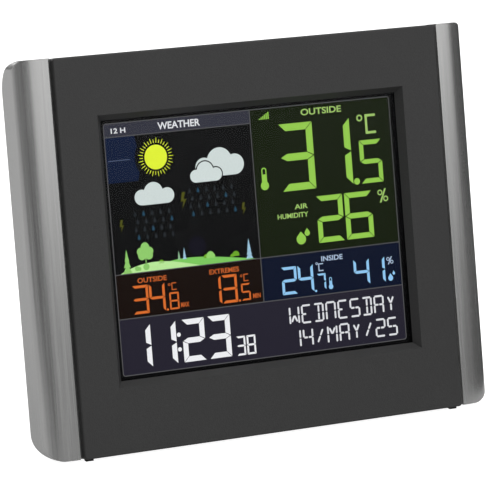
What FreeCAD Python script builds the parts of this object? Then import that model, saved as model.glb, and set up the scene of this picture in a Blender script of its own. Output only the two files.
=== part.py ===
import FreeCAD, Part
import math
import os

import Sketcher

# A table-top weather station: a leaning case with a window, two side rails, a folding rear stand,
# a battery compartment and eight rear buttons.
#
# Case axes, used by every sketch: X to the right, Y from the face towards the back, Z up along the
# face from its lower edge.  Each sub-part is built upright in these axes, and its placement then
# leans it back and sets the origin on the table, under the middle of the object.

DIMENSIONS = {
    # Case
    "face_width": 160,
    "case_height": 148,
    "case_depth": 25,
    "lean": 10,
    "top_fall": 2.5,
    "side_depth": 17,
    "cover_waist": 18.5,
    "lip_depth": 5.5,
    "parting": 11,
    "wall": 2.2,
    "corner_round": 1.2,
    "edge_round": 0.7,
    "back_inset": 12,
    "back_bottom": 5.9,
    "back_top": 134,
    "back_wall": 2,
    "centre_behind": 24.29,
    # Window and display
    "window_width": 128,
    "window_height": 101,
    "window_middle": 75.15,
    "bevel": 2.2,
    "bevel_depth": 3.0,
    "collar_back": 5.0,
    "gasket_thick": 0.2,
    "lens_thick": 1.2,
    "lens_lap": 2.6,
    "display_front": 4.6,
    "glass_thick": 2.2,
    "glass_width": 126,
    "glass_height": 100,
    "film_thick": 0.2,
    "guide_thick": 2.0,
    "sheet_thick": 0.2,
    "holder_front": 5.2,
    "holder_floor": 9.3,
    "holder_back": 10.3,
    "holder_gap": 0.15,
    "holder_wall": 1.4,
    "contact_low": 25.5,
    "contact_high": 27.5,
    "contact_inner": 1,
    "contact_outer": 55,
    # Boards
    "board_front": 12.0,
    "board_back": 13.6,
    "board_half": 72,
    "board_low": 16.5,
    "board_shoulder": 80,
    "board_top": 118,
    "arm_inner": 36,
    "radio_back": 16,
    "aerial_radius": 0.5,
    "aerial_bend": 4,
    "aerial_up": 140,
    "aerial_across": 62,
    "aerial_start": 58,
    "aerial_end": 100,
    "switch_half": 3,
    "switch_back": 17.0,
    "switch_tip_radius": 1.6,
    "sensor_front": 17.2,
    "sensor_back": 18.2,
    "buzzer_across": -5,
    "buzzer_up": 27,
    "buzzer_radius": 7,
    "buzzer_tall": 3,
    # Fasteners
    "screw_across": 71,
    "screw_low": 12,
    "screw_high": 136,
    "boss_radius": 3.2,
    "boss_end": 15.0,
    "board_screw_across": 69,
    "board_screw_low": 30,
    "board_screw_high": 112,
    "board_boss_radius": 2.4,
    "pilot_radius": 1.25,
    "shank_radius": 1.2,
    "screw_hole_radius": 1.4,
    "counterbore_radius": 2.9,
    "clearance_radius": 1.5,
    "slot_half": 0.35,
    "slot_reach": 1.5,
    "slot_deep": 0.9,
    # Openings in the back wall
    "vent_left": -58.8,
    "vent_pitch": 4,
    "vent_wide": 1.6,
    "vent_low": 12,
    "vent_high": 24,
    "jack_across": 50,
    "jack_up": 20,
    "jack_hole_radius": 3.4,
    "jack_barrel_radius": 3.2,
    "jack_bore_radius": 2.4,
    "jack_pin_radius": 0.65,
    "keyhole_up": 127,
    "keyhole_radius": 3.2,
    "keyhole_neck_half": 1.8,
    "keyhole_neck": 5,
    # Rails
    "rail_width": 13.8,
    "seam_depth": 1.2,
    "seam_gap": 1.25,
    "crown_radius": 26.2,
    "shoulder_radius": 4,
    "rail_lift": 0.2,
    "rail_top_round": 12,
    "rail_low_round": 19,
    "rail_heel_round": 4,
    "rail_top_corner": 3.5,
    "rail_low_corner": 7,
    "rail_skin": 2.7,
    "peg_depth": 7.5,
    "peg_inset": 20,
    "peg_radius": 1.5,
    "peg_hole_radius": 1.6,
    # Feet and stand
    "foot_height": 1.3,
    "foot_front": 2.4,
    "foot_back": 4.2,
    "foot_inner": 75.6,
    "foot_outer": 78.6,
    "recess_half": 28.5,
    "recess_top": 79,
    "recess_floor": 20.0,
    "hinge_depth": 22.6,
    "hinge_up": 74,
    "barrel_radius": 2.2,
    "rod_radius": 1.0,
    "rod_bore_radius": 1.05,
    "rod_half": 31,
    "stand_swing": 17.6,
    "stand_front": 22.0,
    "stand_back": 24.6,
    "stand_half_top": 27.8,
    "stand_half_low": 23,
    "stand_end": 5.9,
    "heel_top": 78.2,
    "heel_half": 18,
    "stop_half": 20,
    "stop_tall": 0.62,
    # Battery compartment
    "cell_length": 44.5,
    "cell_radius": 5.2,
    "cell_pitch": 11.2,
    "cell_up": 101.5,
    "cell_depth": 17.9,
    "tray_half": 25.6,
    "tray_low": 84.4,
    "tray_high": 118.6,
    "tray_front": 12.4,
    "door_half": 31,
    "door_low": 82,
    "door_high": 121,
    "door_thick": 1.5,
    "door_gap": 0.15,
    "tab_across": 19,
    "tab_half": 3.8,
    "tab_slack": 0.4,
    "spring_length": 4.1,
    "contact_thick": 0.5,
    "contact_half": 4.4,
    "cap_radius": 1.9,
    "cap_length": 1,
    # Buttons
    "button_across": 54,
    "button_low": 42,
    "button_pitch": 19,
    "button_radius": 3.5,
    "button_hole_radius": 3.6,
    "flange_radius": 4.6,
    "button_proud": 0.8,
    "switch_top": 17.6,
    "button_reach": 18.5,
    "button_inner": 22.9,
    "stem_radius": 1.5,
}

SIDES = (-1, 1)
ROWS = range(4)
BUTTON_NAMES = {
    -1: ("minus_button", "plus_button", "history_button", "channel_button"),
    1: ("light_button", "alarm_button", "clock_button", "alert_button"),
}

document = FreeCAD.newDocument("weather_station")
sheet = document.addObject("Spreadsheet::Sheet", "Dim")
for row, (alias, number) in enumerate(DIMENSIONS.items(), start=1):
    sheet.set(f"A{row}", alias)
    sheet.set(f"B{row}", str(number))
    sheet.setAlias(f"B{row}", alias)
document.recompute()

subparts = []


# ---------------------------------------------------------------- placing

LEAN_TURN = "create(<<rotation>>; create(<<vector>>; 1; 0; 0); -Dim.lean)"
CASE_PLACE = f"create(<<placement>>; create(<<vector>>; 0; -Dim.centre_behind; Dim.foot_height); {LEAN_TURN})"
HINGE_POINT = "create(<<vector>>; 0; Dim.hinge_depth; Dim.hinge_up)"
SWING_TURN = "create(<<rotation>>; create(<<vector>>; 1; 0; 0); Dim.stand_swing)"
NO_TURN = "create(<<rotation>>; create(<<vector>>; 1; 0; 0); 0)"
TO_HINGE = f"create(<<placement>>; {HINGE_POINT}; {SWING_TURN})"
FROM_HINGE = "create(<<placement>>; create(<<vector>>; 0; -Dim.hinge_depth; -Dim.hinge_up); " + NO_TURN + ")"
STAND_PLACE = f"{CASE_PLACE} * {TO_HINGE} * {FROM_HINGE}"


def finish(item, label, place=CASE_PLACE):
    """Name a finished sub-part and lean it into place."""
    item.Label = label
    item.setExpression("Placement", place)
    subparts.append(item)
    return item


def number(expression):
    """The present value of a length expression."""
    result = sheet.evalExpression(str(expression))
    return float(getattr(result, "Value", result))


# ---------------------------------------------------------------- sketches

# Plane role, and the sign of its sketch's normal along the case axis it faces.
PLANES = {"XY": 1, "XZ": -1, "YZ": 1}


def start_body(name):
    return document.addObject("PartDesign::Body", name)


def start_sketch(body, plane, offset="0"):
    """A sketch parallel to an origin plane, offset along the case axis the plane faces."""
    sketch = body.newObject("Sketcher::SketchObject", body.Name + "_sketch")
    role = plane + "_Plane"
    origin_plane = next(item for item in body.Origin.OriginFeatures if item.Role == role)
    sketch.AttachmentSupport = (origin_plane, [""])
    sketch.MapMode = "FlatFace"
    sketch.setExpression("AttachmentOffset.Base.z", f"{PLANES[plane]} * ({offset})")
    return sketch


def pin_point(sketch, geometry, position, across, up):
    for kind, expression in (("DistanceX", across), ("DistanceY", up)):
        constraint = Sketcher.Constraint(kind, -1, 1, geometry, position, number(expression))
        index = sketch.addConstraint(constraint)
        sketch.setExpression(f"Constraints[{index}]", str(expression))


def polygon(sketch, points):
    """A closed outline through points given as pairs of expressions."""
    first = sketch.GeometryCount
    count = len(points)
    places = [FreeCAD.Vector(number(across), number(up), 0) for across, up in points]
    for index in range(count):
        line = Part.LineSegment(places[index], places[(index + 1) % count])
        sketch.addGeometry(line, False)
    for index in range(count):
        following = first + (index + 1) % count
        sketch.addConstraint(Sketcher.Constraint("Coincident", first + index, 2, following, 1))
    for index, (across, up) in enumerate(points):
        pin_point(sketch, first + index, 1, across, up)


def rectangle(sketch, left, right, low, high):
    polygon(sketch, [(left, low), (right, low), (right, high), (left, high)])


def circle(sketch, across, up, radius):
    centre = FreeCAD.Vector(number(across), number(up), 0)
    geometry = sketch.addGeometry(Part.Circle(centre, FreeCAD.Vector(0, 0, 1), number(radius)), False)
    pin_point(sketch, geometry, 3, across, up)
    index = sketch.addConstraint(Sketcher.Constraint("Radius", geometry, number(radius)))
    sketch.setExpression(f"Constraints[{index}]", str(radius))


# ---------------------------------------------------------------- features

def pad(body, sketch, length, forwards=True):
    """Add material from a sketch, along the plus case axis when forwards."""
    feature = body.newObject("PartDesign::Pad", body.Name + "_pad")
    feature.Profile = sketch
    feature.setExpression("Length", length)
    normal_forwards = sketch.AttachmentSupport[0][0].Role != "XZ_Plane"
    feature.Reversed = forwards != normal_forwards
    sketch.Visibility = False
    return feature


def pocket(body, sketch, length, forwards=True):
    """Cut from a sketch, along the plus case axis when forwards, and check that it cut."""
    document.recompute()
    before = body.Shape.Volume
    feature = body.newObject("PartDesign::Pocket", body.Name + "_pocket")
    feature.Profile = sketch
    feature.setExpression("Length", length)
    normal_forwards = sketch.AttachmentSupport[0][0].Role != "XZ_Plane"
    feature.Reversed = forwards == normal_forwards
    document.recompute()
    if body.Shape.Volume > before - 1e-6:
        raise RuntimeError(f"a pocket cut nothing in {body.Name}")
    return feature


def through_pad(body, sketch, length):
    feature = pad(body, sketch, length)
    feature.Midplane = True
    return feature


def through_pocket(body, sketch, length):
    document.recompute()
    before = body.Shape.Volume
    feature = body.newObject("PartDesign::Pocket", body.Name + "_slot")
    feature.Profile = sketch
    feature.setExpression("Length", length)
    feature.Midplane = True
    document.recompute()
    if body.Shape.Volume > before - 1e-6:
        raise RuntimeError(f"a through pocket cut nothing in {body.Name}")
    return feature


def loft(body, kind, sketches):
    feature = body.newObject("PartDesign::" + kind, body.Name + "_loft")
    feature.Profile = sketches[0]
    feature.Sections = sketches[1:]
    feature.Ruled = True
    return feature


def round_edges(body, base, radius, chosen):
    """Fillet the edges of a feature for which chosen(edge box) holds."""
    document.recompute()
    names = []
    for index, edge in enumerate(base.Shape.Edges, start=1):
        if chosen(edge.BoundBox):
            names.append(f"Edge{index}")
    feature = body.newObject("PartDesign::Fillet", body.Name + "_round")
    feature.Base = (base, names)
    feature.setExpression("Radius", radius)
    document.recompute()
    return feature


def near(first, second, slack=0.02):
    return abs(first - second) < slack


def box(name, left, right, front, back, low, high):
    item = document.addObject("Part::Box", name)
    item.setExpression("Length", f"({right}) - ({left})")
    item.setExpression("Width", f"({back}) - ({front})")
    item.setExpression("Height", f"({high}) - ({low})")
    item.setExpression("Placement.Base.x", f"{left}")
    item.setExpression("Placement.Base.y", f"{front}")
    item.setExpression("Placement.Base.z", f"{low}")
    return item


def cylinder_back(name, across, up, radius, front, back):
    """A cylinder whose axis runs from the front towards the back."""
    item = document.addObject("Part::Cylinder", name)
    item.Placement = FreeCAD.Placement(FreeCAD.Vector(), FreeCAD.Rotation(FreeCAD.Vector(1, 0, 0), -90))
    item.setExpression("Radius", f"{radius}")
    item.setExpression("Height", f"({back}) - ({front})")
    item.setExpression("Placement.Base.x", f"{across}")
    item.setExpression("Placement.Base.y", f"{front}")
    item.setExpression("Placement.Base.z", f"{up}")
    return item


def cylinder_across(name, left, right, depth, up, radius):
    """A cylinder whose axis runs from left to right."""
    item = document.addObject("Part::Cylinder", name)
    item.Placement = FreeCAD.Placement(FreeCAD.Vector(), FreeCAD.Rotation(FreeCAD.Vector(0, 1, 0), 90))
    item.setExpression("Radius", f"{radius}")
    item.setExpression("Height", f"({right}) - ({left})")
    item.setExpression("Placement.Base.x", f"{left}")
    item.setExpression("Placement.Base.y", f"{depth}")
    item.setExpression("Placement.Base.z", f"{up}")
    return item


def group(name, items):
    """Join touching pieces, and keep the ones that stand apart as separate solids."""
    if len(items) == 1:
        return items[0]
    joined = document.addObject("Part::MultiFuse", name)
    joined.Shapes = items
    return joined


def mirror_across(source, label):
    """The same piece on the other side of the middle plane."""
    copy = document.addObject("Part::Mirroring", label)
    copy.Source = source
    copy.Normal = FreeCAD.Vector(1, 0, 0)
    copy.Label = label
    subparts.append(copy)
    return copy


# ---------------------------------------------------------------- shared outlines

UNDERSIDE = "(({depth}) - Dim.lip_depth) * tan(Dim.lean)"
TOPSIDE = "Dim.case_height - ({depth}) * tan(Dim.top_fall)"
HALF_FACE = "Dim.face_width / 2"
THROUGH_ALL = "4 * Dim.case_height"
SCREW_PLACES = [(side, up) for side in SIDES for up in ("Dim.screw_low", "Dim.screw_high")]
BOARD_SCREW_PLACES = [(side, up) for side in SIDES for up in ("Dim.board_screw_low", "Dim.board_screw_high")]


def underside(depth, above="0"):
    """The level underside behind the square front lip, at a depth."""
    return UNDERSIDE.format(depth=depth) + f" + ({above})"


def topside(depth, below="0"):
    """The gently falling top, at a depth."""
    return TOPSIDE.format(depth=depth) + f" - ({below})"


def window_rectangle(sketch, grow):
    """The window's outline, grown outwards on every side by an expression."""
    half_wide = f"(Dim.window_width / 2 + ({grow}))"
    half_tall = f"(Dim.window_height / 2 + ({grow}))"
    middle = "Dim.window_middle"
    rectangle(sketch, f"-{half_wide}", half_wide, f"{middle} - {half_tall}", f"{middle} + {half_tall}")


def screw_circles(sketch, places, across, radius):
    for side, up in places:
        circle(sketch, f"{side} * {across}", up, radius)


# ---------------------------------------------------------------- front housing

def make_front_housing():
    body = start_body("FrontHousing")
    outline = start_sketch(body, "YZ")
    polygon(outline, [
        ("0", "0"),
        ("0", "Dim.case_height"),
        ("Dim.parting", topside("Dim.parting")),
        ("Dim.parting", underside("Dim.parting")),
        ("Dim.lip_depth", "0"),
    ])
    block = through_pad(body, outline, "Dim.face_width")
    half = number(HALF_FACE)
    corners = round_edges(
        body, block, "Dim.corner_round",
        lambda edge: near(edge.XMin, edge.XMax) and near(abs(edge.XMin), half) and edge.YLength > 3,
    )
    round_edges(
        body, corners, "Dim.edge_round",
        lambda edge: near(edge.YMin, 0) and near(edge.YMax, 0),
    )
    hollow = start_sketch(body, "YZ")
    polygon(hollow, [
        ("Dim.wall", "Dim.wall"),
        ("Dim.wall", topside("Dim.wall", "Dim.wall")),
        ("Dim.parting + 1", topside("Dim.parting + 1", "Dim.wall")),
        ("Dim.parting + 1", underside("Dim.parting + 1", "Dim.wall")),
        ("Dim.lip_depth", "Dim.wall"),
    ])
    through_pocket(body, hollow, "Dim.face_width - 2 * Dim.wall")

    collar = start_sketch(body, "XZ", "Dim.wall - 0.1")
    window_rectangle(collar, "Dim.bevel")
    pad(body, collar, "Dim.collar_back - Dim.wall + 0.1")
    bosses = start_sketch(body, "XZ", "Dim.wall - 0.1")
    screw_circles(bosses, SCREW_PLACES, "Dim.screw_across", "Dim.boss_radius")
    pad(body, bosses, "Dim.boss_end - Dim.wall + 0.1")
    board_bosses = start_sketch(body, "XZ", "Dim.wall - 0.1")
    screw_circles(board_bosses, BOARD_SCREW_PLACES, "Dim.board_screw_across", "Dim.board_boss_radius")
    pad(body, board_bosses, "Dim.holder_floor - Dim.wall + 0.1")

    seat = start_sketch(body, "XZ", "Dim.bevel_depth")
    window_rectangle(seat, "0.5")
    pocket(body, seat, "Dim.collar_back - Dim.bevel_depth + 1")
    mouth = start_sketch(body, "XZ", "0")
    window_rectangle(mouth, "0")
    throat = start_sketch(body, "XZ", "Dim.bevel_depth")
    window_rectangle(throat, "-Dim.bevel")
    loft(body, "SubtractiveLoft", [mouth, throat])

    pilots = start_sketch(body, "XZ", "Dim.boss_end")
    screw_circles(pilots, SCREW_PLACES, "Dim.screw_across", "Dim.pilot_radius")
    pocket(body, pilots, "10", forwards=False)
    board_pilots = start_sketch(body, "XZ", "Dim.holder_floor")
    screw_circles(board_pilots, BOARD_SCREW_PLACES, "Dim.board_screw_across", "Dim.pilot_radius")
    pocket(body, board_pilots, "5.5", forwards=False)
    peg_holes = start_sketch(body, "YZ")
    for up in peg_heights():
        circle(peg_holes, "Dim.peg_depth", up, "Dim.peg_hole_radius")
    through_pocket(body, peg_holes, "Dim.face_width + 2")
    return finish(body, "front_housing")


def peg_heights():
    """How far up the rail's pegs and their holes lie."""
    return ("Dim.peg_inset", "Dim.case_height / 2", "Dim.case_height - Dim.peg_inset")


# ---------------------------------------------------------------- rear cover

def section(body, depth, half, low, high):
    sketch = start_sketch(body, "XZ", depth)
    rectangle(sketch, f"-({half})", half, low, high)
    return sketch


def make_rear_cover():
    body = start_body("RearCover")
    back_half = "Dim.face_width / 2 - Dim.back_inset"
    rim = section(body, "Dim.parting", HALF_FACE, underside("Dim.parting"), topside("Dim.parting"))
    waist = section(
        body, "Dim.cover_waist", HALF_FACE, underside("Dim.cover_waist"), topside("Dim.cover_waist"),
    )
    back = section(body, "Dim.case_depth", back_half, "Dim.back_bottom", "Dim.back_top")
    loft(body, "AdditiveLoft", [rim, waist, back])

    inner_half = "Dim.face_width / 2 - Dim.wall"
    inner_rim = section(
        body, "Dim.parting - 0.01", inner_half,
        underside("Dim.parting", "Dim.wall"), topside("Dim.parting", "Dim.wall"),
    )
    inner_waist = section(
        body, "Dim.cover_waist - 1.1", inner_half,
        underside("Dim.cover_waist - 1.1", "Dim.wall"), topside("Dim.cover_waist - 1.1", "Dim.wall"),
    )
    inner_back = section(
        body, "Dim.case_depth - Dim.back_wall", "Dim.face_width / 2 - Dim.back_inset - 0.6",
        "Dim.back_bottom + 1.4", "Dim.back_top - 0.6",
    )
    loft(body, "SubtractiveLoft", [inner_rim, inner_waist, inner_back])

    # Solid blocks inside the back wall, for the stand recess and the battery tray.
    recess_block = start_sketch(body, "XZ", "Dim.recess_floor - 2")
    rectangle(recess_block, "-(Dim.recess_half + 4)", "Dim.recess_half + 4",
              "Dim.back_bottom", "Dim.recess_top + 2")
    pad(body, recess_block, "Dim.case_depth - Dim.recess_floor + 1")
    tray_block = start_sketch(body, "XZ", "Dim.tray_front - 1.2")
    rectangle(tray_block, "-(Dim.tray_half + 1.2)", "Dim.tray_half + 1.2",
              "Dim.tray_low - 1.2", "Dim.tray_high + 1.2")
    pad(body, tray_block, "Dim.case_depth - Dim.tray_front")
    ledge_block = start_sketch(body, "XZ", "Dim.case_depth - Dim.door_thick - 1.5")
    rectangle(ledge_block, "-(Dim.door_half + 2)", "Dim.door_half + 2",
              "Dim.door_low - 2", "Dim.door_high + 2")
    pad(body, ledge_block, "2.5")
    bosses = start_sketch(body, "XZ", "Dim.boss_end + 0.1")
    screw_circles(bosses, SCREW_PLACES, "Dim.screw_across", "Dim.boss_radius + 0.6")
    pad(body, bosses, "5.4")

    recess = start_sketch(body, "XZ", "Dim.case_depth + 1")
    rectangle(recess, "-Dim.recess_half", "Dim.recess_half", "-1", "Dim.recess_top")
    pocket(body, recess, "Dim.case_depth + 1 - Dim.recess_floor", forwards=False)
    stop = start_sketch(body, "XZ", "Dim.recess_floor - 0.1")
    rectangle(stop, "-Dim.stop_half", "Dim.stop_half", "Dim.hinge_up + 2.8", "Dim.recess_top + 0.1")
    pad(body, stop, "Dim.stop_tall + 0.1")
    hinge_hole = start_sketch(body, "YZ")
    circle(hinge_hole, "Dim.hinge_depth", "Dim.hinge_up", "Dim.rod_bore_radius")
    through_pocket(body, hinge_hole, "2 * Dim.rod_half + 0.4")

    door_rebate = start_sketch(body, "XZ", "Dim.case_depth + 1")
    rectangle(door_rebate, "-Dim.door_half", "Dim.door_half", "Dim.door_low", "Dim.door_high")
    pocket(body, door_rebate, "1 + Dim.door_thick", forwards=False)
    tray = start_sketch(body, "XZ", "Dim.case_depth")
    rectangle(tray, "-Dim.tray_half", "Dim.tray_half", "Dim.tray_low", "Dim.tray_high")
    pocket(body, tray, "Dim.case_depth - Dim.tray_front", forwards=False)
    tab_slots = start_sketch(body, "XZ", "Dim.case_depth - Dim.door_thick + 0.01")
    for side in SIDES:
        middle = f"{side} * Dim.tab_across"
        half = "(Dim.tab_half + Dim.tab_slack)"
        rectangle(tab_slots, f"{middle} - {half}", f"{middle} + {half}",
                  "Dim.door_low - 1.9", "Dim.tray_low + 0.1")
    pocket(body, tab_slots, "4", forwards=False)
    latch_slot = start_sketch(body, "XZ", "Dim.case_depth + 1")
    rectangle(latch_slot, "-6", "6", "Dim.door_high - 0.1", "Dim.door_high + 2.6")
    pocket(body, latch_slot, "2", forwards=False)

    counterbores = start_sketch(body, "XZ", "Dim.case_depth + 1")
    screw_circles(counterbores, SCREW_PLACES, "Dim.screw_across", "Dim.counterbore_radius")
    pocket(body, counterbores, "Dim.case_depth + 1 - Dim.boss_end - 2", forwards=False)
    clearances = start_sketch(body, "XZ", "Dim.case_depth")
    screw_circles(clearances, SCREW_PLACES, "Dim.screw_across", "Dim.clearance_radius")
    pocket(body, clearances, "Dim.case_depth - Dim.boss_end + 1", forwards=False)

    through_wall = "Dim.back_wall + 1.5"
    holes = start_sketch(body, "XZ", "Dim.case_depth + 1")
    for side in SIDES:
        for index in ROWS:
            circle(holes, f"{side} * Dim.button_across", button_up(index), "Dim.button_hole_radius")
    pocket(body, holes, through_wall, forwards=False)
    vents = start_sketch(body, "XZ", "Dim.case_depth + 1")
    for index in range(5):
        left = f"Dim.vent_left + {index} * Dim.vent_pitch"
        rectangle(vents, left, f"{left} + Dim.vent_wide", "Dim.vent_low", "Dim.vent_high")
    pocket(body, vents, through_wall, forwards=False)
    jack_hole = start_sketch(body, "XZ", "Dim.case_depth + 1")
    circle(jack_hole, "Dim.jack_across", "Dim.jack_up", "Dim.jack_hole_radius")
    pocket(body, jack_hole, through_wall, forwards=False)
    keyhole = start_sketch(body, "XZ", "Dim.case_depth + 1")
    circle(keyhole, "0", "Dim.keyhole_up", "Dim.keyhole_radius")
    pocket(body, keyhole, through_wall, forwards=False)
    neck = start_sketch(body, "XZ", "Dim.case_depth + 1")
    neck_half = "Dim.keyhole_neck_half"
    rectangle(neck, f"-{neck_half}", neck_half, "Dim.keyhole_up", "Dim.keyhole_up + Dim.keyhole_neck")
    pocket(body, neck, through_wall, forwards=False)
    return finish(body, "rear_cover")



def button_up(index):
    return f"Dim.button_low + {index} * Dim.button_pitch"


# ---------------------------------------------------------------- side rails

def rail_front_cut(body):
    """The waste in front of the rail: a broad crown running into a tight shoulder."""
    sketch = start_sketch(body, "XY")
    start_x = number("Dim.face_width / 2 + Dim.seam_gap")
    start_y = number("Dim.seam_depth")
    crown = number("Dim.crown_radius")
    shoulder = number("Dim.shoulder_radius")
    outer = number("Dim.face_width / 2 + Dim.rail_width")
    turn = math.asin((outer - shoulder - start_x) / (crown - shoulder))
    crown_centre = FreeCAD.Vector(start_x, start_y + crown, 0)
    knuckle = FreeCAD.Vector(crown * math.sin(turn), -crown * math.cos(turn), 0)
    inward = FreeCAD.Vector(-math.sin(turn), math.cos(turn), 0)
    shoulder_centre = crown_centre + knuckle + inward * shoulder
    normal = FreeCAD.Vector(0, 0, 1)
    right_angle = math.pi / 2
    crown_arc = Part.ArcOfCircle(Part.Circle(crown_centre, normal, crown), -right_angle, turn - right_angle)
    shoulder_arc = Part.ArcOfCircle(Part.Circle(shoulder_centre, normal, shoulder), turn - right_angle, 0)
    first = sketch.addGeometry(crown_arc, False)
    second = sketch.addGeometry(shoulder_arc, False)
    end = shoulder_centre + FreeCAD.Vector(shoulder, 0, 0)
    corners = [
        ("Dim.face_width / 2 + Dim.rail_width + 2", None),
        ("Dim.face_width / 2 + Dim.rail_width + 2", "Dim.seam_depth - 2"),
        ("Dim.face_width / 2 - 1", "Dim.seam_depth - 2"),
        ("Dim.face_width / 2 - 1", "Dim.seam_depth + 1.5"),
        ("Dim.face_width / 2 + Dim.seam_gap", "Dim.seam_depth + 1.5"),
    ]
    places = [end]
    for across, up in corners:
        places.append(FreeCAD.Vector(number(across), end.y if up is None else number(up), 0))
    places.append(FreeCAD.Vector(start_x, start_y, 0))
    lines = [sketch.addGeometry(Part.LineSegment(a, b), False) for a, b in zip(places, places[1:])]

    sketch.addConstraint(Sketcher.Constraint("Tangent", first, 2, second, 1))
    sketch.addConstraint(Sketcher.Constraint("Coincident", second, 2, lines[0], 1))
    for line, following in zip(lines, lines[1:]):
        sketch.addConstraint(Sketcher.Constraint("Coincident", line, 2, following, 1))
    sketch.addConstraint(Sketcher.Constraint("Coincident", lines[-1], 2, first, 1))
    sketch.addConstraint(Sketcher.Constraint("Horizontal", lines[0]))
    pin_point(sketch, first, 1, "Dim.face_width / 2 + Dim.seam_gap", "Dim.seam_depth")
    for line, (across, up) in zip(lines[2:], corners[1:]):
        pin_point(sketch, line, 1, across, up)
    for kind, geometry, position, expression in (
        ("DistanceX", first, 3, "Dim.face_width / 2 + Dim.seam_gap"),
        ("DistanceX", second, 2, "Dim.face_width / 2 + Dim.rail_width"),
        ("DistanceX", lines[1], 1, "Dim.face_width / 2 + Dim.rail_width + 2"),
    ):
        constraint = Sketcher.Constraint(kind, -1, 1, geometry, position, number(expression))
        index = sketch.addConstraint(constraint)
        sketch.setExpression(f"Constraints[{index}]", expression)
    for geometry, expression in ((first, "Dim.crown_radius"), (second, "Dim.shoulder_radius")):
        index = sketch.addConstraint(Sketcher.Constraint("Radius", geometry, number(expression)))
        sketch.setExpression(f"Constraints[{index}]", expression)
    return sketch


def corner_cut(body, plane, corner, radius, signs):
    """The waste outside a rounded corner of an outline. signs say which way the corner points."""
    sketch = start_sketch(body, plane)
    across, up = corner
    out_across, out_up = signs
    margin = 3
    inner_across = f"{across} - ({out_across}) * ({radius})"
    inner_up = f"{up} - ({out_up}) * ({radius})"
    far_across = f"{across} + ({out_across}) * {margin}"
    far_up = f"{up} + ({out_up}) * {margin}"
    points = [(across, inner_up), (far_across, inner_up), (far_across, far_up), (inner_across, far_up),
              (inner_across, up)]
    places = [FreeCAD.Vector(number(x), number(y), 0) for x, y in points]
    lines = [sketch.addGeometry(Part.LineSegment(a, b), False) for a, b in zip(places, places[1:])]
    centre = FreeCAD.Vector(number(inner_across), number(inner_up), 0)
    slant = FreeCAD.Vector(out_across, out_up, 0) * (number(radius) / math.sqrt(2))
    arc = sketch.addGeometry(Part.Arc(places[-1], centre + slant, places[0]), False)
    start, end = (1, 2) if out_across * out_up < 0 else (2, 1)
    for line, following in zip(lines, lines[1:]):
        sketch.addConstraint(Sketcher.Constraint("Coincident", line, 2, following, 1))
    for line, (x, y) in zip(lines, points):
        pin_point(sketch, line, 1, x, y)
    pin_point(sketch, lines[-1], 2, inner_across, up)
    sketch.addConstraint(Sketcher.Constraint("Coincident", lines[-1], 2, arc, start))
    sketch.addConstraint(Sketcher.Constraint("Coincident", arc, end, lines[0], 1))
    index = sketch.addConstraint(Sketcher.Constraint("Radius", arc, number(radius)))
    sketch.setExpression(f"Constraints[{index}]", radius)
    return sketch


def make_side_rail():
    body = start_body("SideRail")
    outer = "Dim.face_width / 2 + Dim.rail_width"
    outline = start_sketch(body, "YZ", HALF_FACE)
    rectangle(outline, "Dim.seam_depth", "Dim.side_depth", "Dim.rail_lift", "Dim.case_height")
    pad(body, outline, "Dim.rail_width")
    # The low corner starts at the seam, and its arc is wider than the rail is deep.
    arc_end = "Dim.seam_depth + Dim.rail_low_round"
    corners = (
        ("YZ", ("Dim.side_depth", "Dim.case_height"), "Dim.rail_top_round", (1, 1)),
        ("YZ", (arc_end, "Dim.rail_lift"), "Dim.rail_low_round", (1, -1)),
        ("XZ", (outer, "Dim.case_height"), "Dim.rail_top_corner", (1, 1)),
        ("XZ", (outer, "Dim.rail_lift"), "Dim.rail_low_corner", (1, -1)),
    )
    for plane, corner, radius, signs in corners:
        rounded = through_pocket(body, corner_cut(body, plane, corner, radius, signs), THROUGH_ALL)
        if corner[0] == arc_end:
            back = number("Dim.side_depth")
            round_edges(
                body, rounded, "Dim.rail_heel_round",
                lambda edge: near(edge.YMin, back) and near(edge.YLength, 0) and (
                    edge.ZMax < 20 and edge.XLength > 5),
            )
    through_pocket(body, rail_front_cut(body), THROUGH_ALL)
    hollow = start_sketch(body, "YZ", HALF_FACE)
    rectangle(hollow, "Dim.peg_depth + Dim.peg_radius + 0.2", "Dim.side_depth - 2",
              "14", "Dim.case_height - 12")
    pocket(body, hollow, "Dim.rail_width - Dim.rail_skin")
    pegs = start_sketch(body, "YZ", "Dim.face_width / 2 + 1")
    for up in peg_heights():
        circle(pegs, "Dim.peg_depth", up, "Dim.peg_radius")
    pad(body, pegs, "4.1", forwards=False)
    return finish(body, "right_side_rail")


# ---------------------------------------------------------------- window and display stack

def plate(name, label, front, thickness, half_size):
    """A flat rectangular layer of the display stack, half_size wide and tall about its middle."""
    body = start_body(name)
    outline = start_sketch(body, "XZ", front)
    half_wide, half_tall = half_size
    middle = "Dim.window_middle"
    rectangle(outline, f"-({half_wide})", half_wide, f"{middle} - ({half_tall})", f"{middle} + ({half_tall})")
    pad(body, outline, thickness)
    return finish(body, label)


def make_gasket():
    body = start_body("LensGasket")
    outline = start_sketch(body, "XZ", "Dim.bevel_depth")
    window_rectangle(outline, "Dim.lens_lap - Dim.bevel - 0.1")
    window_rectangle(outline, "-Dim.bevel + 0.5")
    pad(body, outline, "Dim.gasket_thick")
    return finish(body, "lens_gasket")


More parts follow.
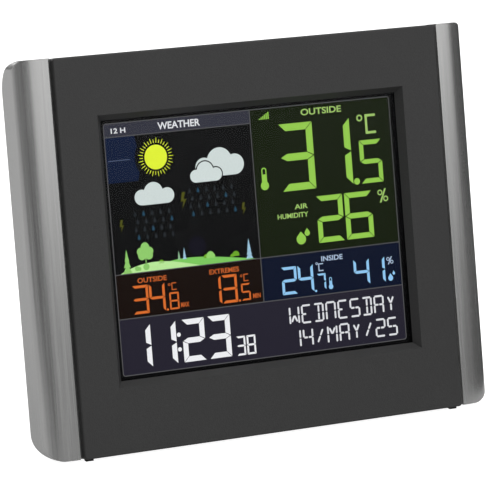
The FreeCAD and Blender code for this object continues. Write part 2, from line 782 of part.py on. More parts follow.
def make_display_stack():
    lens_half_wide = "Dim.window_width / 2 - Dim.bevel + Dim.lens_lap"
    lens_half_tall = "Dim.window_height / 2 - Dim.bevel + Dim.lens_lap"
    lens_front = "Dim.bevel_depth + Dim.gasket_thick"
    plate("DisplayLens", "display_lens", lens_front, "Dim.lens_thick", (lens_half_wide, lens_half_tall))
    glass_size = ("Dim.glass_width / 2", "Dim.glass_height / 2")
    plate("LcdGlass", "lcd_glass", "Dim.display_front", "Dim.glass_thick", glass_size)
    film_front = "Dim.display_front + Dim.glass_thick"
    sheet_size = ("Dim.glass_width / 2 - 1.8", "Dim.glass_height / 2 - 2.8")
    plate("ColorFilm", "color_film", film_front, "Dim.film_thick", sheet_size)
    guide_front = f"{film_front} + Dim.film_thick"
    plate("LightGuide", "light_guide", guide_front, "Dim.guide_thick", sheet_size)
    reflector_front = f"{guide_front} + Dim.guide_thick"
    plate("ReflectorSheet", "reflector_sheet", reflector_front, "Dim.sheet_thick", sheet_size)


def make_light_strip():
    front = "Dim.display_front + Dim.glass_thick + Dim.film_thick"
    back = f"{front} + Dim.guide_thick"
    edge = "Dim.glass_width / 2"
    strip = box("LightStripBoard", f"-({edge})", f"-({edge}) + 0.8", front, back, "30", "120")
    pieces = [strip]
    for index in range(6):
        low = f"{36 + 15 * index}"
        pieces.append(box("Lamp", f"-({edge}) + 0.8", f"-({edge}) + 1.7", f"{front} + 0.4", f"{back} - 0.4",
                          low, f"{low} + 3"))
    return finish(group("LightStrip", pieces), "backlight_led_strip")


def make_holder():
    body = start_body("LcdHolder")
    inner_wide = "Dim.glass_width / 2 + Dim.holder_gap"
    inner_tall = "Dim.glass_height / 2 + Dim.holder_gap"
    middle = "Dim.window_middle"
    outline = start_sketch(body, "XZ", "Dim.holder_front")
    outer_wide = f"{inner_wide} + Dim.holder_wall"
    outer_tall = f"{inner_tall} + Dim.holder_wall"
    rectangle(outline, f"-({outer_wide})", outer_wide,
              f"{middle} - ({outer_tall})", f"{middle} + ({outer_tall})")
    pad(body, outline, "Dim.holder_back - Dim.holder_front")
    ears = start_sketch(body, "XZ", "Dim.holder_floor")
    for side, up in BOARD_SCREW_PLACES:
        near_edge = f"{side} * 63"
        far_edge = f"{side} * (Dim.board_screw_across + 2.6)"
        rectangle(ears, near_edge, far_edge, f"{up} - 2.6", f"{up} + 2.6")
    pad(body, ears, "Dim.board_front - Dim.holder_floor")
    hollow = start_sketch(body, "XZ", "Dim.holder_front")
    rectangle(hollow, f"-({inner_wide})", inner_wide,
              f"{middle} - ({inner_tall})", f"{middle} + ({inner_tall})")
    pocket(body, hollow, "Dim.holder_floor - Dim.holder_front")
    contact_slot = start_sketch(body, "XZ", "Dim.holder_floor")
    slot_half = "(Dim.contact_outer + 1)"
    rectangle(contact_slot, f"-{slot_half}", slot_half, "Dim.contact_low - 0.3", "Dim.contact_high + 0.3")
    pocket(body, contact_slot, "3")
    screw_holes = start_sketch(body, "XZ", "Dim.holder_floor")
    screw_circles(screw_holes, BOARD_SCREW_PLACES, "Dim.board_screw_across", "Dim.screw_hole_radius")
    pocket(body, screw_holes, "4")
    return finish(body, "lcd_holder")


def make_contact_strips():
    front = "Dim.display_front + Dim.glass_thick"
    spans = (("-Dim.contact_outer", "-Dim.contact_inner"), ("Dim.contact_inner", "Dim.contact_outer"))
    pieces = [
        box("ContactStrip", left, right, front, "Dim.board_front", "Dim.contact_low", "Dim.contact_high")
        for left, right in spans
    ]
    return finish(group("ContactStrips", pieces), "lcd_contact_strips")


# ---------------------------------------------------------------- boards

def make_main_board():
    body = start_body("MainBoard")
    outline = start_sketch(body, "XZ", "Dim.board_front")
    polygon(outline, [
        ("-Dim.board_half", "Dim.board_low"),
        ("Dim.board_half", "Dim.board_low"),
        ("Dim.board_half", "Dim.board_top"),
        ("Dim.arm_inner", "Dim.board_top"),
        ("Dim.arm_inner", "Dim.board_shoulder"),
        ("-Dim.arm_inner", "Dim.board_shoulder"),
        ("-Dim.arm_inner", "Dim.board_top"),
        ("-Dim.board_half", "Dim.board_top"),
    ])
    pad(body, outline, "Dim.board_back - Dim.board_front")
    holes = start_sketch(body, "XZ", "Dim.board_front")
    screw_circles(holes, BOARD_SCREW_PLACES, "Dim.board_screw_across", "Dim.screw_hole_radius")
    pocket(body, holes, "3")
    return finish(body, "main_circuit_board")


def make_components():
    # Left, right, low, high and height above the board.
    chips = {
        "Processor": (-10, 10, 40, 60, 1.4),
        "Memory": (18, 27, 44, 50, 1.3),
        "Crystal": (-22, -19, 46, 54, 2.2),
        "Regulator": (38, 44, 30, 36, 1.8),
        "Driver": (-44, -34, 62, 72, 1.2),
        "Inductor": (30, 36, 60, 66, 2.4),
    }
    pieces = []
    for name, (left, right, low, high, tall) in chips.items():
        pieces.append(box(name, left, right, "Dim.board_back", f"Dim.board_back + {tall}", low, high))
    for across, up in ((-30, 30), (-22, 30), (14, 24), (22, 66)):
        pieces.append(cylinder_back("Capacitor", across, up, "2.0", "Dim.board_back", "Dim.board_back + 3.6"))
    return finish(group("Components", pieces), "circuit_components")


def make_switches():
    pieces = []
    for side in SIDES:
        for index in ROWS:
            across = f"{side} * Dim.button_across"
            up = button_up(index)
            half = "Dim.switch_half"
            pieces.append(box("Switch", f"{across} - {half}", f"{across} + {half}",
                              "Dim.board_back", "Dim.switch_back", f"{up} - {half}", f"{up} + {half}"))
            pieces.append(cylinder_back("SwitchTip", across, up, "Dim.switch_tip_radius",
                                        "Dim.switch_back", "Dim.switch_top"))
    return finish(group("Switches", pieces), "button_switches")


def make_radio():
    front = "Dim.radio_back - 1"
    board = box("RadioBoard", "40", "66", front, "Dim.radio_back", "121", "141")
    chip = box("RadioChip", "46", "54", "Dim.radio_back", "Dim.radio_back + 1.4", "126", "134")
    can = box("RadioCrystal", "57", "63", "Dim.radio_back", "Dim.radio_back + 1.8", "127", "131")
    return finish(group("Radio", [board, chip, can]), "radio_module")


def make_aerial():
    """A wire along the top of the case and down one side, soldered on the radio board."""
    wire = document.addObject("Part::Feature", "AerialWire")
    depth = number("Dim.radio_back + Dim.aerial_radius")
    bend = number("Dim.aerial_bend")
    up = number("Dim.aerial_up")
    left = -number("Dim.aerial_across")
    start = FreeCAD.Vector(number("Dim.aerial_start"), depth, up)
    bend_start = FreeCAD.Vector(left + bend, depth, up)
    diagonal = bend * math.sin(math.pi / 4)
    bend_middle = FreeCAD.Vector(left + bend - diagonal, depth, up - bend + diagonal)
    bend_end = FreeCAD.Vector(left, depth, up - bend)
    end = FreeCAD.Vector(left, depth, number("Dim.aerial_end"))
    edges = [
        Part.LineSegment(start, bend_start).toShape(),
        Part.Arc(bend_start, bend_middle, bend_end).toShape(),
        Part.LineSegment(bend_end, end).toShape(),
    ]
    ring = Part.makeCircle(number("Dim.aerial_radius"), start, FreeCAD.Vector(-1, 0, 0))
    wire.Shape = Part.Wire(edges).makePipeShell([Part.Wire([ring])], True, False)
    return finish(wire, "radio_aerial")


def make_sensor():
    front, back = "Dim.sensor_front", "Dim.sensor_back"
    board = box("SensorBoard", "-60", "-42", front, back, "12", "24")
    chip = box("SensorChip", "-53", "-49", back, f"{back} + 1.4", "15", "19")
    thermistor = cylinder_back("Thermistor", "-46", "17", "1.2", back, f"{back} + 2.2")
    pins = [
        cylinder_back("SensorPin", across, "22", "0.4", "Dim.board_back", front)
        for across in (-57, -53, -49, -45)
    ]
    return finish(group("Sensor", [board, chip, thermistor] + pins), "sensor_board")


def make_buzzer():
    across, up = "Dim.buzzer_across", "Dim.buzzer_up"
    top = "Dim.board_back + Dim.buzzer_tall"
    can = cylinder_back("BuzzerCan", across, up, "Dim.buzzer_radius", "Dim.board_back", top)
    hole = cylinder_back("BuzzerHole", across, up, "1", f"{top} - 1", f"{top} + 1")
    cut = document.addObject("Part::Cut", "Buzzer")
    cut.Base = can
    cut.Tool = hole
    return finish(cut, "buzzer")


def make_power_socket():
    body = start_body("PowerSocket")
    across, up = "Dim.jack_across", "Dim.jack_up"
    outline = start_sketch(body, "XZ", "Dim.board_back")
    rectangle(outline, f"{across} - 4.5", f"{across} + 4.5", f"{up} - 5", f"{up} + 5")
    pad(body, outline, "Dim.case_depth - 2.1 - Dim.board_back")
    barrel = start_sketch(body, "XZ", "Dim.case_depth - 2.2")
    circle(barrel, across, up, "Dim.jack_barrel_radius")
    pad(body, barrel, "1.6")
    bore = start_sketch(body, "XZ", "Dim.case_depth")
    circle(bore, across, up, "Dim.jack_bore_radius")
    pocket(body, bore, "9", forwards=False)
    pin = start_sketch(body, "XZ", "Dim.case_depth - 9.5")
    circle(pin, across, up, "Dim.jack_pin_radius")
    pad(body, pin, "8")
    return finish(body, "power_socket")


# ---------------------------------------------------------------- batteries

def cell_up(index):
    return f"Dim.cell_up + {index - 1} * Dim.cell_pitch"


def make_batteries():
    """Three cells side by side, each turned the other way from its neighbour."""
    labels = ("battery_low", "battery_middle", "battery_high")
    spring_end = "Dim.tray_half - Dim.contact_thick - Dim.spring_length"
    can_length = "(Dim.cell_length - Dim.cap_length)"
    for index, label in enumerate(labels):
        up = cell_up(index)
        if index % 2:
            can_left, can_right = f"-({spring_end})", f"-({spring_end}) + {can_length}"
            cap_left, cap_right = can_right, f"{can_right} + Dim.cap_length"
        else:
            can_left, can_right = f"{spring_end} - {can_length}", spring_end
            cap_left, cap_right = f"{can_left} - Dim.cap_length", can_left
        can = cylinder_across(label + "_can", can_left, can_right, "Dim.cell_depth", up, "Dim.cell_radius")
        cap = cylinder_across(label + "_cap", cap_left, cap_right, "Dim.cell_depth", up, "Dim.cap_radius")
        finish(group(label + "_cell", [can, cap]), label)


def make_contacts():
    """A contact plate at both ends of every cell, and a spring on the plate at its flat end."""
    springs = []
    plates = []
    inner = "Dim.tray_half - Dim.contact_thick"
    half = "Dim.contact_half"
    for index in ROWS[:3]:
        up = cell_up(index)
        if index % 2:
            springs.append(cone_across(f"-({inner})", "3.6", "2.0", up))
        else:
            springs.append(cone_across(f"{inner} - Dim.spring_length", "2.0", "3.6", up))
        for left, right in ((inner, "Dim.tray_half"), ("-Dim.tray_half", f"-({inner})")):
            plates.append(box("ContactPlate", left, right,
                              f"Dim.cell_depth - {half}", f"Dim.cell_depth + {half}",
                              f"{up} - {half}", f"{up} + {half}"))
    finish(group("Springs", springs), "battery_springs")
    finish(group("Plates", plates), "battery_plates")


def cone_across(left, first_radius, second_radius, up):
    """A contact spring's outer form: a short cone along the battery's axis."""
    item = document.addObject("Part::Cone", "Spring")
    item.Placement = FreeCAD.Placement(FreeCAD.Vector(), FreeCAD.Rotation(FreeCAD.Vector(0, 1, 0), 90))
    item.setExpression("Radius1", first_radius)
    item.setExpression("Radius2", second_radius)
    item.setExpression("Height", "Dim.spring_length")
    item.setExpression("Placement.Base.x", left)
    item.setExpression("Placement.Base.y", "Dim.cell_depth")
    item.setExpression("Placement.Base.z", up)
    return item


def make_battery_door():
    body = start_body("BatteryDoor")
    outline = start_sketch(body, "XZ", "Dim.case_depth - Dim.door_thick + 0.02")
    half = "Dim.door_half - Dim.door_gap"
    rectangle(outline, f"-({half})", half, "Dim.door_low + Dim.door_gap", "Dim.door_high - Dim.door_gap")
    plate_pad = pad(body, outline, "Dim.door_thick - 0.02")
    corners = round_edges(
        body, plate_pad, "0.8",
        lambda edge: edge.XLength < 0.01 and edge.ZLength < 0.01,
    )
    back = number("Dim.case_depth")
    round_edges(
        body, corners, "0.3",
        lambda edge: near(edge.YMin, back) and near(edge.YMax, back),
    )
    tabs = start_sketch(body, "XZ", "Dim.case_depth - 3.3")
    for side in SIDES:
        middle = f"{side} * Dim.tab_across"
        left, right = f"{middle} - Dim.tab_half", f"{middle} + Dim.tab_half"
        rectangle(tabs, left, right, "Dim.door_low - 1.4", "Dim.door_low + 2.2")
    pad(body, tabs, "1.1")
    webs = start_sketch(body, "XZ", "Dim.case_depth - 2.3")
    for side in SIDES:
        middle = f"{side} * Dim.tab_across"
        left, right = f"{middle} - Dim.tab_half", f"{middle} + Dim.tab_half"
        rectangle(webs, left, right, "Dim.door_low + 0.5", "Dim.door_low + 2.2")
    pad(body, webs, "1.2")
    grip = start_sketch(body, "XZ", "Dim.case_depth + 0.1")
    for index in range(3):
        low = f"Dim.door_high - {4.2 + 2.2 * index}"
        rectangle(grip, "-7", "7", low, f"{low} + 0.9")
    pocket(body, grip, "0.6", forwards=False)
    return finish(body, "battery_door")


# ---------------------------------------------------------------- stand and feet

LEG_SLANT = "(Dim.stand_swing - Dim.lean)"
HINGE_HEIGHT = "(Dim.hinge_up * cos(Dim.lean) - Dim.hinge_depth * sin(Dim.lean) + Dim.foot_height)"


def ground_line(depth):
    """Where the table lies in the folded stand's own axes, at a depth, once the stand is out."""
    reach = f"{HINGE_HEIGHT} / cos({LEG_SLANT})"
    return f"Dim.hinge_up - {reach} - (({depth}) - Dim.hinge_depth) * tan({LEG_SLANT})"


def make_stand():
    body = start_body("Stand")
    outline = start_sketch(body, "XZ", "Dim.stand_front")
    polygon(outline, [
        ("-Dim.stand_half_low", "Dim.stand_end"),
        ("Dim.stand_half_low", "Dim.stand_end"),
        ("Dim.stand_half_top", "Dim.hinge_up - 8"),
        ("Dim.stand_half_top", "Dim.hinge_up + 1"),
        ("Dim.heel_half", "Dim.heel_top"),
        ("-Dim.heel_half", "Dim.heel_top"),
        ("-Dim.stand_half_top", "Dim.hinge_up + 1"),
        ("-Dim.stand_half_top", "Dim.hinge_up - 8"),
    ])
    plate_pad = pad(body, outline, "Dim.stand_back - Dim.stand_front")
    back = number("Dim.stand_back")
    round_edges(
        body, plate_pad, "0.4",
        lambda edge: near(edge.YMin, back) and near(edge.YMax, back) and edge.ZMin < 60,
    )
    barrel = start_sketch(body, "YZ")
    circle(barrel, "Dim.hinge_depth", "Dim.hinge_up", "Dim.barrel_radius")
    through_pad(body, barrel, "2 * Dim.stand_half_top")
    hollow = start_sketch(body, "XZ", "Dim.stand_front")
    for left, right in (("-20", "-1"), ("1", "20")):
        for low, high in (("Dim.stand_end + 6", "36"), ("38", "Dim.hinge_up - 8")):
            rectangle(hollow, left, right, low, high)
    pocket(body, hollow, "1.2")
    pull = start_sketch(body, "XZ", "Dim.stand_back + 0.1")
    rectangle(pull, "-9", "9", "Dim.stand_end + 2", "Dim.stand_end + 5")
    pocket(body, pull, "0.9", forwards=False)
    bore = start_sketch(body, "YZ")
    circle(bore, "Dim.hinge_depth", "Dim.hinge_up", "Dim.rod_bore_radius")
    through_pocket(body, bore, "2 * Dim.stand_half_top + 2")
    return finish(body, "folding_stand", STAND_PLACE)


def make_stand_pad():
    body = start_body("StandPad")
    outline = start_sketch(body, "YZ")
    polygon(outline, [
        ("Dim.stand_front", "Dim.stand_end"),
        ("Dim.stand_back", "Dim.stand_end"),
        ("Dim.stand_back", ground_line("Dim.stand_back")),
        ("Dim.stand_front", ground_line("Dim.stand_front")),
    ])
    through_pad(body, outline, "2 * Dim.stand_half_low - 3")
    return finish(body, "stand_foot_strip", STAND_PLACE)


def make_hinge_rod():
    body = start_body("HingeRod")
    outline = start_sketch(body, "YZ")
    circle(outline, "Dim.hinge_depth", "Dim.hinge_up", "Dim.rod_radius")
    through_pad(body, outline, "2 * Dim.rod_half")
    return finish(body, "stand_hinge_rod")


def make_foot():
    """A low wedge under the lip, level where it meets the table."""
    body = start_body("FrontFoot")
    outline = start_sketch(body, "YZ", "Dim.foot_inner")
    table_front = "Dim.foot_front * tan(Dim.lean) - Dim.foot_height / cos(Dim.lean)"
    table_back = "Dim.foot_back * tan(Dim.lean) - Dim.foot_height / cos(Dim.lean)"
    polygon(outline, [
        ("Dim.foot_front", "0"),
        ("Dim.foot_back", "0"),
        ("Dim.foot_back", table_back),
        ("Dim.foot_front", table_front),
    ])
    pad(body, outline, "Dim.foot_outer - Dim.foot_inner")
    return finish(body, "right_front_foot")


# ---------------------------------------------------------------- screws and buttons

def make_screws(name, label, places, across, head_front, head_radius, head_tall, shank_front):
    """Cross-slotted screws, as one group of separate solids."""
    pieces = []
    head_back = f"{head_front} + {head_tall}"
    slot_span = (f"{head_back} - Dim.slot_deep", f"{head_back} + 1")
    reach, half = "Dim.slot_reach", "Dim.slot_half"
    for side, up in places:
        middle = f"{side} * {across}"
        head = cylinder_back(name + "Head", middle, up, head_radius, head_front, head_back)
        shank = cylinder_back(name + "Shank", middle, up, "Dim.shank_radius", shank_front, head_front)
        wide = box(name + "SlotWide", f"{middle} - {reach}", f"{middle} + {reach}", *slot_span,
                   f"{up} - {half}", f"{up} + {half}")
        tall = box(name + "SlotTall", f"{middle} - {half}", f"{middle} + {half}", *slot_span,
                   f"{up} - {reach}", f"{up} + {reach}")
        cut = document.addObject("Part::Cut", name)
        cut.Base = group(name + "Blank", [head, shank])
        cut.Tool = group(name + "Cross", [wide, tall])
        pieces.append(cut)
    return finish(group(name + "Set", pieces), label)


def make_button(label, side, index):
    body = start_body(label.title().replace("_", ""))
    across = f"{side} * Dim.button_across"
    up = button_up(index)
    inner = "Dim.button_inner"
    cap = start_sketch(body, "XZ", inner)
    circle(cap, across, up, "Dim.button_radius")
    cap_pad = pad(body, cap, f"Dim.case_depth + Dim.button_proud - ({inner})")
    outer = number("Dim.case_depth + Dim.button_proud")
    round_edges(body, cap_pad, "0.5", lambda edge: near(edge.YMin, outer) and near(edge.YMax, outer))
    flange = start_sketch(body, "XZ", f"{inner} - 1")
    circle(flange, across, up, "Dim.flange_radius")
    pad(body, flange, "1")
    stem = start_sketch(body, "XZ", "Dim.button_reach")
    circle(stem, across, up, "Dim.stem_radius")
    pad(body, stem, f"{inner} - 0.9 - Dim.button_reach")
    return finish(body, label)


# ---------------------------------------------------------------- the whole object

def make_all():
    make_front_housing()
    make_rear_cover()
    rail = make_side_rail()
    mirror_across(rail, "left_side_rail")
    make_gasket()
    make_display_stack()
    make_light_strip()
    make_holder()
    make_contact_strips()
    make_main_board()
    make_components()
    make_switches()
    make_radio()
    make_aerial()
    make_sensor()
    make_buzzer()
    make_power_socket()
    make_batteries()
    make_contacts()
    make_battery_door()
    make_stand()
    make_stand_pad()
    make_hinge_rod()
    foot = make_foot()
    mirror_across(foot, "left_front_foot")
    make_screws("RearScrew", "rear_screws", SCREW_PLACES, "Dim.screw_across", "Dim.boss_end + 2",
                "2.6", "1.8", "6")
    make_screws("BoardScrew", "board_screws", BOARD_SCREW_PLACES, "Dim.board_screw_across", "Dim.board_back",
                "2.3", "1.5", "5")
    for side, labels in BUTTON_NAMES.items():
        for index, label in enumerate(labels):
            make_button(label, side, index)


def check_all():
    problems = []
    for item in document.Objects:
        if "Invalid" in item.State or "Error" in item.State:
            problems.append(f"{item.Name} failed")
    for item in subparts:
        if item.Shape.isNull() or not item.Shape.isValid() or item.Shape.Volume <= 0:
            problems.append(f"{item.Label} has no valid shape")
    if problems:
        raise RuntimeError("; ".join(problems))


make_all()
document.recompute()
check_all()
os.makedirs("parts", exist_ok=True)
for item in subparts:
    item.Shape.exportStep(f"parts/{item.Label}.step")
    print(f"{item.Label}: {item.Shape.Volume:.1f} mm3, {len(item.Shape.Solids)} solid(s)")
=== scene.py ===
import math

import bmesh
import bpy
from mathutils import Matrix, Vector


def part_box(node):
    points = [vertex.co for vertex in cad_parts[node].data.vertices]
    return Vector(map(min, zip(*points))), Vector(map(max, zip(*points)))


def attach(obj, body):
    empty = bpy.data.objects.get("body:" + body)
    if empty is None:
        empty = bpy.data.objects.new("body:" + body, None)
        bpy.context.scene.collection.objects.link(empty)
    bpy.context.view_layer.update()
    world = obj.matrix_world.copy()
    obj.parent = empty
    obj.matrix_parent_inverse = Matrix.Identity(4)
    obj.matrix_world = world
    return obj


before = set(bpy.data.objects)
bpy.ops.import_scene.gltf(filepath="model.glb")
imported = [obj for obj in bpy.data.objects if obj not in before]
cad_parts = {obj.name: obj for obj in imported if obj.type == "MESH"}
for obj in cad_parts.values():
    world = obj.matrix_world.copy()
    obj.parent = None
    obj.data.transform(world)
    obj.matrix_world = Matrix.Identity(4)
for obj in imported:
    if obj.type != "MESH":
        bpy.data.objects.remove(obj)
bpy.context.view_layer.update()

MM = 0.001
LEAN = math.radians(10.0)            # the whole case leans back by this much
DISPLAY_WIDTH = 120.3                # the lit area of the display, in mm
DISPLAY_HEIGHT = 94.0
LAYER_STEP = 0.04                    # printed layers lie this far apart, in mm
LAYER_THICKNESS = 0.03
LAYER_START = 0.02
CURVE_STEPS = 48


# ---------------------------------------------------------------- colours and placing

def tone(red, green, blue):
    """A display colour from 0 to 255 as a linear colour."""
    def linear(value):
        share = value / 255.0
        return share / 12.92 if share <= 0.04045 else ((share + 0.055) / 1.055) ** 2.4
    return (linear(red), linear(green), linear(blue), 1.0)


def scaled(colour, factor):
    return tuple(min(1.0, part * factor) for part in colour[:3]) + (1.0,)


def display_matrix():
    """Takes display millimetres (right, up, out of the glass) to the frame's metres."""
    low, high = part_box("lcd_glass")
    height = high.z - low.z
    depth = high.y - low.y
    # the tilted plate's box gives its thickness: depth = t cos + h sin, height = t sin + h cos
    thickness = (depth * math.cos(LEAN) - height * math.sin(LEAN)) / math.cos(2.0 * LEAN)
    centre = Matrix.Translation((low + high) / 2.0)
    face = Matrix.Rotation(math.pi / 2.0 - LEAN, 4, "X")
    scale = Matrix.Scale(MM, 4)
    corner = Matrix.Translation((-DISPLAY_WIDTH / 2.0, -DISPLAY_HEIGHT / 2.0, thickness / MM / 2.0))
    return centre @ face @ scale @ corner


DISPLAY = display_matrix()


# ---------------------------------------------------------------- materials

def node(tree, kind, values=None, **settings):
    """A new node of a tree, with its settings and the plain values of its inputs."""
    made = tree.nodes.new(kind)
    for key, value in settings.items():
        setattr(made, key, value)
    for key, value in (values or {}).items():
        made.inputs[key].default_value = value
    return made


def blank_material(name):
    material = bpy.data.materials.new(name)
    material.use_nodes = True
    tree = material.node_tree
    return material, tree, tree.nodes["Principled BSDF"]


def coordinates(tree, stretch=(1.0, 1.0, 1.0), lean=0.0):
    """Object coordinates in metres, stretched along the leaning case's own axes."""
    source = node(tree, "ShaderNodeTexCoord")
    upright = node(tree, "ShaderNodeVectorRotate", {"Angle": lean}, rotation_type="X_AXIS")
    mapped = node(tree, "ShaderNodeVectorMath", {1: stretch}, operation="MULTIPLY")
    tree.links.new(source.outputs["Object"], upright.inputs["Vector"])
    tree.links.new(upright.outputs["Vector"], mapped.inputs[0])
    return mapped.outputs["Vector"]


def noise(tree, vector, size, detail=3.0, roughness=0.55):
    """A noise whose lumps are about size metres across, from 0 to 1."""
    made = node(tree, "ShaderNodeTexNoise",
                {"Scale": 1.0 / size, "Detail": detail, "Roughness": roughness})
    tree.links.new(vector, made.inputs["Vector"])
    return made.outputs["Fac"]


def ranged(tree, source, low, high, start=0.3, end=0.7):
    """Spreads a source from start..end over low..high."""
    made = node(tree, "ShaderNodeMapRange",
                {"From Min": start, "From Max": end, "To Min": low, "To Max": high})
    tree.links.new(source, made.inputs["Value"])
    return made.outputs["Result"]


def blended(tree, factor, first, second):
    """A colour mix of two plain colours or two colour outputs."""
    made = node(tree, "ShaderNodeMix", data_type="RGBA")
    tree.links.new(factor, made.inputs["Factor"])
    for key, colour in ((6, first), (7, second)):
        if isinstance(colour, tuple):
            made.inputs[key].default_value = colour
        else:
            tree.links.new(colour, made.inputs[key])
    return made.outputs[2]


def bumped(tree, shader, height, distance, strength=1.0, under=None):
    made = node(tree, "ShaderNodeBump", {"Strength": strength, "Distance": distance})
    tree.links.new(height, made.inputs["Height"])
    if under is not None:
        tree.links.new(under, made.inputs["Normal"])
    tree.links.new(made.outputs["Normal"], shader.inputs["Normal"])
    return made.outputs["Normal"]


def textured(name, colour, roughness, grain, depth, mottle=0.12, spread=0.08,
             metallic=0.0, specular=0.5, coat=0.0, stretch=(1.0, 1.0, 1.0), cloud=0.02):
    """Plastic, rubber, foam or metal: a fine grain in relief over a broad, faint mottling."""
    material, tree, shader = blank_material(name)
    place = coordinates(tree, stretch, LEAN)
    fine = noise(tree, place, grain)
    plain = coordinates(tree)
    broad = noise(tree, plain, cloud, detail=2.0)
    shaded = blended(tree, ranged(tree, fine, 0.0, 1.0),
                     scaled(colour, 1.0 - mottle), scaled(colour, 1.0 + mottle))
    cloudy = blended(tree, ranged(tree, broad, 0.0, 0.5), shaded, scaled(colour, 1.0 - mottle / 2.0))
    tree.links.new(cloudy, shader.inputs["Base Color"])
    rough = ranged(tree, fine, roughness - spread, roughness + spread)
    tree.links.new(rough, shader.inputs["Roughness"])
    bumped(tree, shader, fine, depth)
    shader.inputs["Metallic"].default_value = metallic
    shader.inputs["Specular IOR Level"].default_value = specular
    shader.inputs["Coat Weight"].default_value = coat
    return material


def brushed_silver(name):
    """Satin silver lacquer with long, very fine streaks and a faint fine sparkle."""
    material, tree, shader = blank_material(name)
    streaks = noise(tree, coordinates(tree, (1.0, 1.0, 0.012), LEAN), 0.0006, detail=4.0)
    grain = noise(tree, coordinates(tree), 0.00035, detail=2.0)
    broad = noise(tree, coordinates(tree, (1.0, 1.0, 0.3), LEAN), 0.03, detail=1.0)
    base = (0.50, 0.50, 0.495, 1.0)
    streaked = blended(tree, ranged(tree, streaks, 0.0, 1.0), scaled(base, 0.92), scaled(base, 1.07))
    speckled = blended(tree, ranged(tree, grain, 0.0, 0.35), streaked, scaled(base, 0.9))
    tree.links.new(speckled, shader.inputs["Base Color"])
    worn = node(tree, "ShaderNodeMath", operation="MULTIPLY_ADD")
    tree.links.new(ranged(tree, streaks, -0.03, 0.03), worn.inputs[0])
    worn.inputs[1].default_value = 1.0
    tree.links.new(ranged(tree, broad, 0.21, 0.25), worn.inputs[2])
    tree.links.new(worn.outputs["Value"], shader.inputs["Roughness"])
    under = bumped(tree, shader, streaks, 0.000003)
    bumped(tree, shader, grain, 0.000002, under=under)
    shader.inputs["Metallic"].default_value = 0.88
    shader.inputs["Specular IOR Level"].default_value = 0.5
    return material


def window_pane(name):
    """Clear acrylic: nearly all see-through, with the faintest smudges in its gloss."""
    material, tree, shader = blank_material(name)
    smudge = noise(tree, coordinates(tree), 0.012, detail=3.0)
    tree.links.new(ranged(tree, smudge, 0.04, 0.10), shader.inputs["Roughness"])
    tint = blended(tree, ranged(tree, smudge, 0.0, 1.0), tone(9, 10, 11), tone(13, 13, 14))
    tree.links.new(tint, shader.inputs["Base Color"])
    shader.inputs["Alpha"].default_value = 0.10
    shader.inputs["Specular IOR Level"].default_value = 0.5
    return material


def dark_glass(name):
    """The front of the LCD: almost black, with a rubbed polariser film and a fine cell pattern."""
    material, tree, shader = blank_material(name)
    place = coordinates(tree, (1.0, 1.0, 1.0), LEAN)
    cells = node(tree, "ShaderNodeTexBrick", {
        "Scale": 1.0, "Mortar Size": 0.00004, "Brick Width": 0.0006, "Row Height": 0.0006,
        "Color1": tone(13, 14, 15), "Color2": tone(15, 16, 17), "Mortar": tone(11, 12, 12)}, offset=0.0)
    turned = node(tree, "ShaderNodeVectorRotate", {"Angle": math.pi / 2.0}, rotation_type="X_AXIS")
    tree.links.new(place, turned.inputs["Vector"])
    tree.links.new(turned.outputs["Vector"], cells.inputs["Vector"])
    broad = noise(tree, coordinates(tree), 0.03, detail=2.0)
    shade = blended(tree, ranged(tree, broad, 0.0, 0.6), cells.outputs["Color"], tone(12, 12, 14))
    tree.links.new(shade, shader.inputs["Base Color"])
    tree.links.new(ranged(tree, broad, 0.22, 0.32), shader.inputs["Roughness"])
    shader.inputs["Specular IOR Level"].default_value = 0.05
    return material


def lit_ink(name, colour, glow=1.0, base=0.22):
    """A lit part of the display: its own colour glows, over a faintly grainy colour film, and broad patches
    dim the film colour as painted unevenness of the backlight.
    """
    material, tree, shader = blank_material(name)
    grain = noise(tree, coordinates(tree), 0.0005, detail=2.0)
    broad = noise(tree, coordinates(tree), 0.02, detail=2.0)
    film = blended(tree, ranged(tree, grain, 0.0, 1.0),
                   scaled(colour, base * 0.8), scaled(colour, base * 1.2))
    # painted backlight unevenness: broad noise pulls the film colour towards a dimmer shade in patches
    painted_backlight_unevenness = blended(tree, ranged(tree, broad, 0.0, 0.5), film, scaled(colour, base * 0.85))
    tree.links.new(painted_backlight_unevenness, shader.inputs["Base Color"])
    tree.links.new(ranged(tree, grain, 0.4, 0.6), shader.inputs["Roughness"])
    shader.inputs["Specular IOR Level"].default_value = 0.0
    shader.inputs["Emission Color"].default_value = colour
    shader.inputs["Emission Strength"].default_value = glow
    return material


def board_green(name):
    """Solder mask over copper: tracks show as a lighter, raised grid."""
    material, tree, shader = blank_material(name)
    tracks = node(tree, "ShaderNodeTexBrick", {
        "Scale": 1.0, "Mortar Size": 0.0004, "Brick Width": 0.006, "Row Height": 0.0021})
    turned = node(tree, "ShaderNodeVectorRotate", {"Angle": math.pi / 2.0}, rotation_type="X_AXIS")
    tree.links.new(coordinates(tree, (1.0, 1.0, 1.0), LEAN), turned.inputs["Vector"])
    tree.links.new(turned.outputs["Vector"], tracks.inputs["Vector"])
    mask = blended(tree, tracks.outputs["Fac"], tone(14, 74, 38), tone(40, 118, 58))
    cloud = noise(tree, coordinates(tree), 0.01)
    shade = blended(tree, ranged(tree, cloud, 0.0, 0.4), mask, tone(10, 60, 32))
    tree.links.new(shade, shader.inputs["Base Color"])
    tree.links.new(ranged(tree, cloud, 0.3, 0.45), shader.inputs["Roughness"])
    bumped(tree, shader, tracks.outputs["Fac"], 0.00004)
    return material


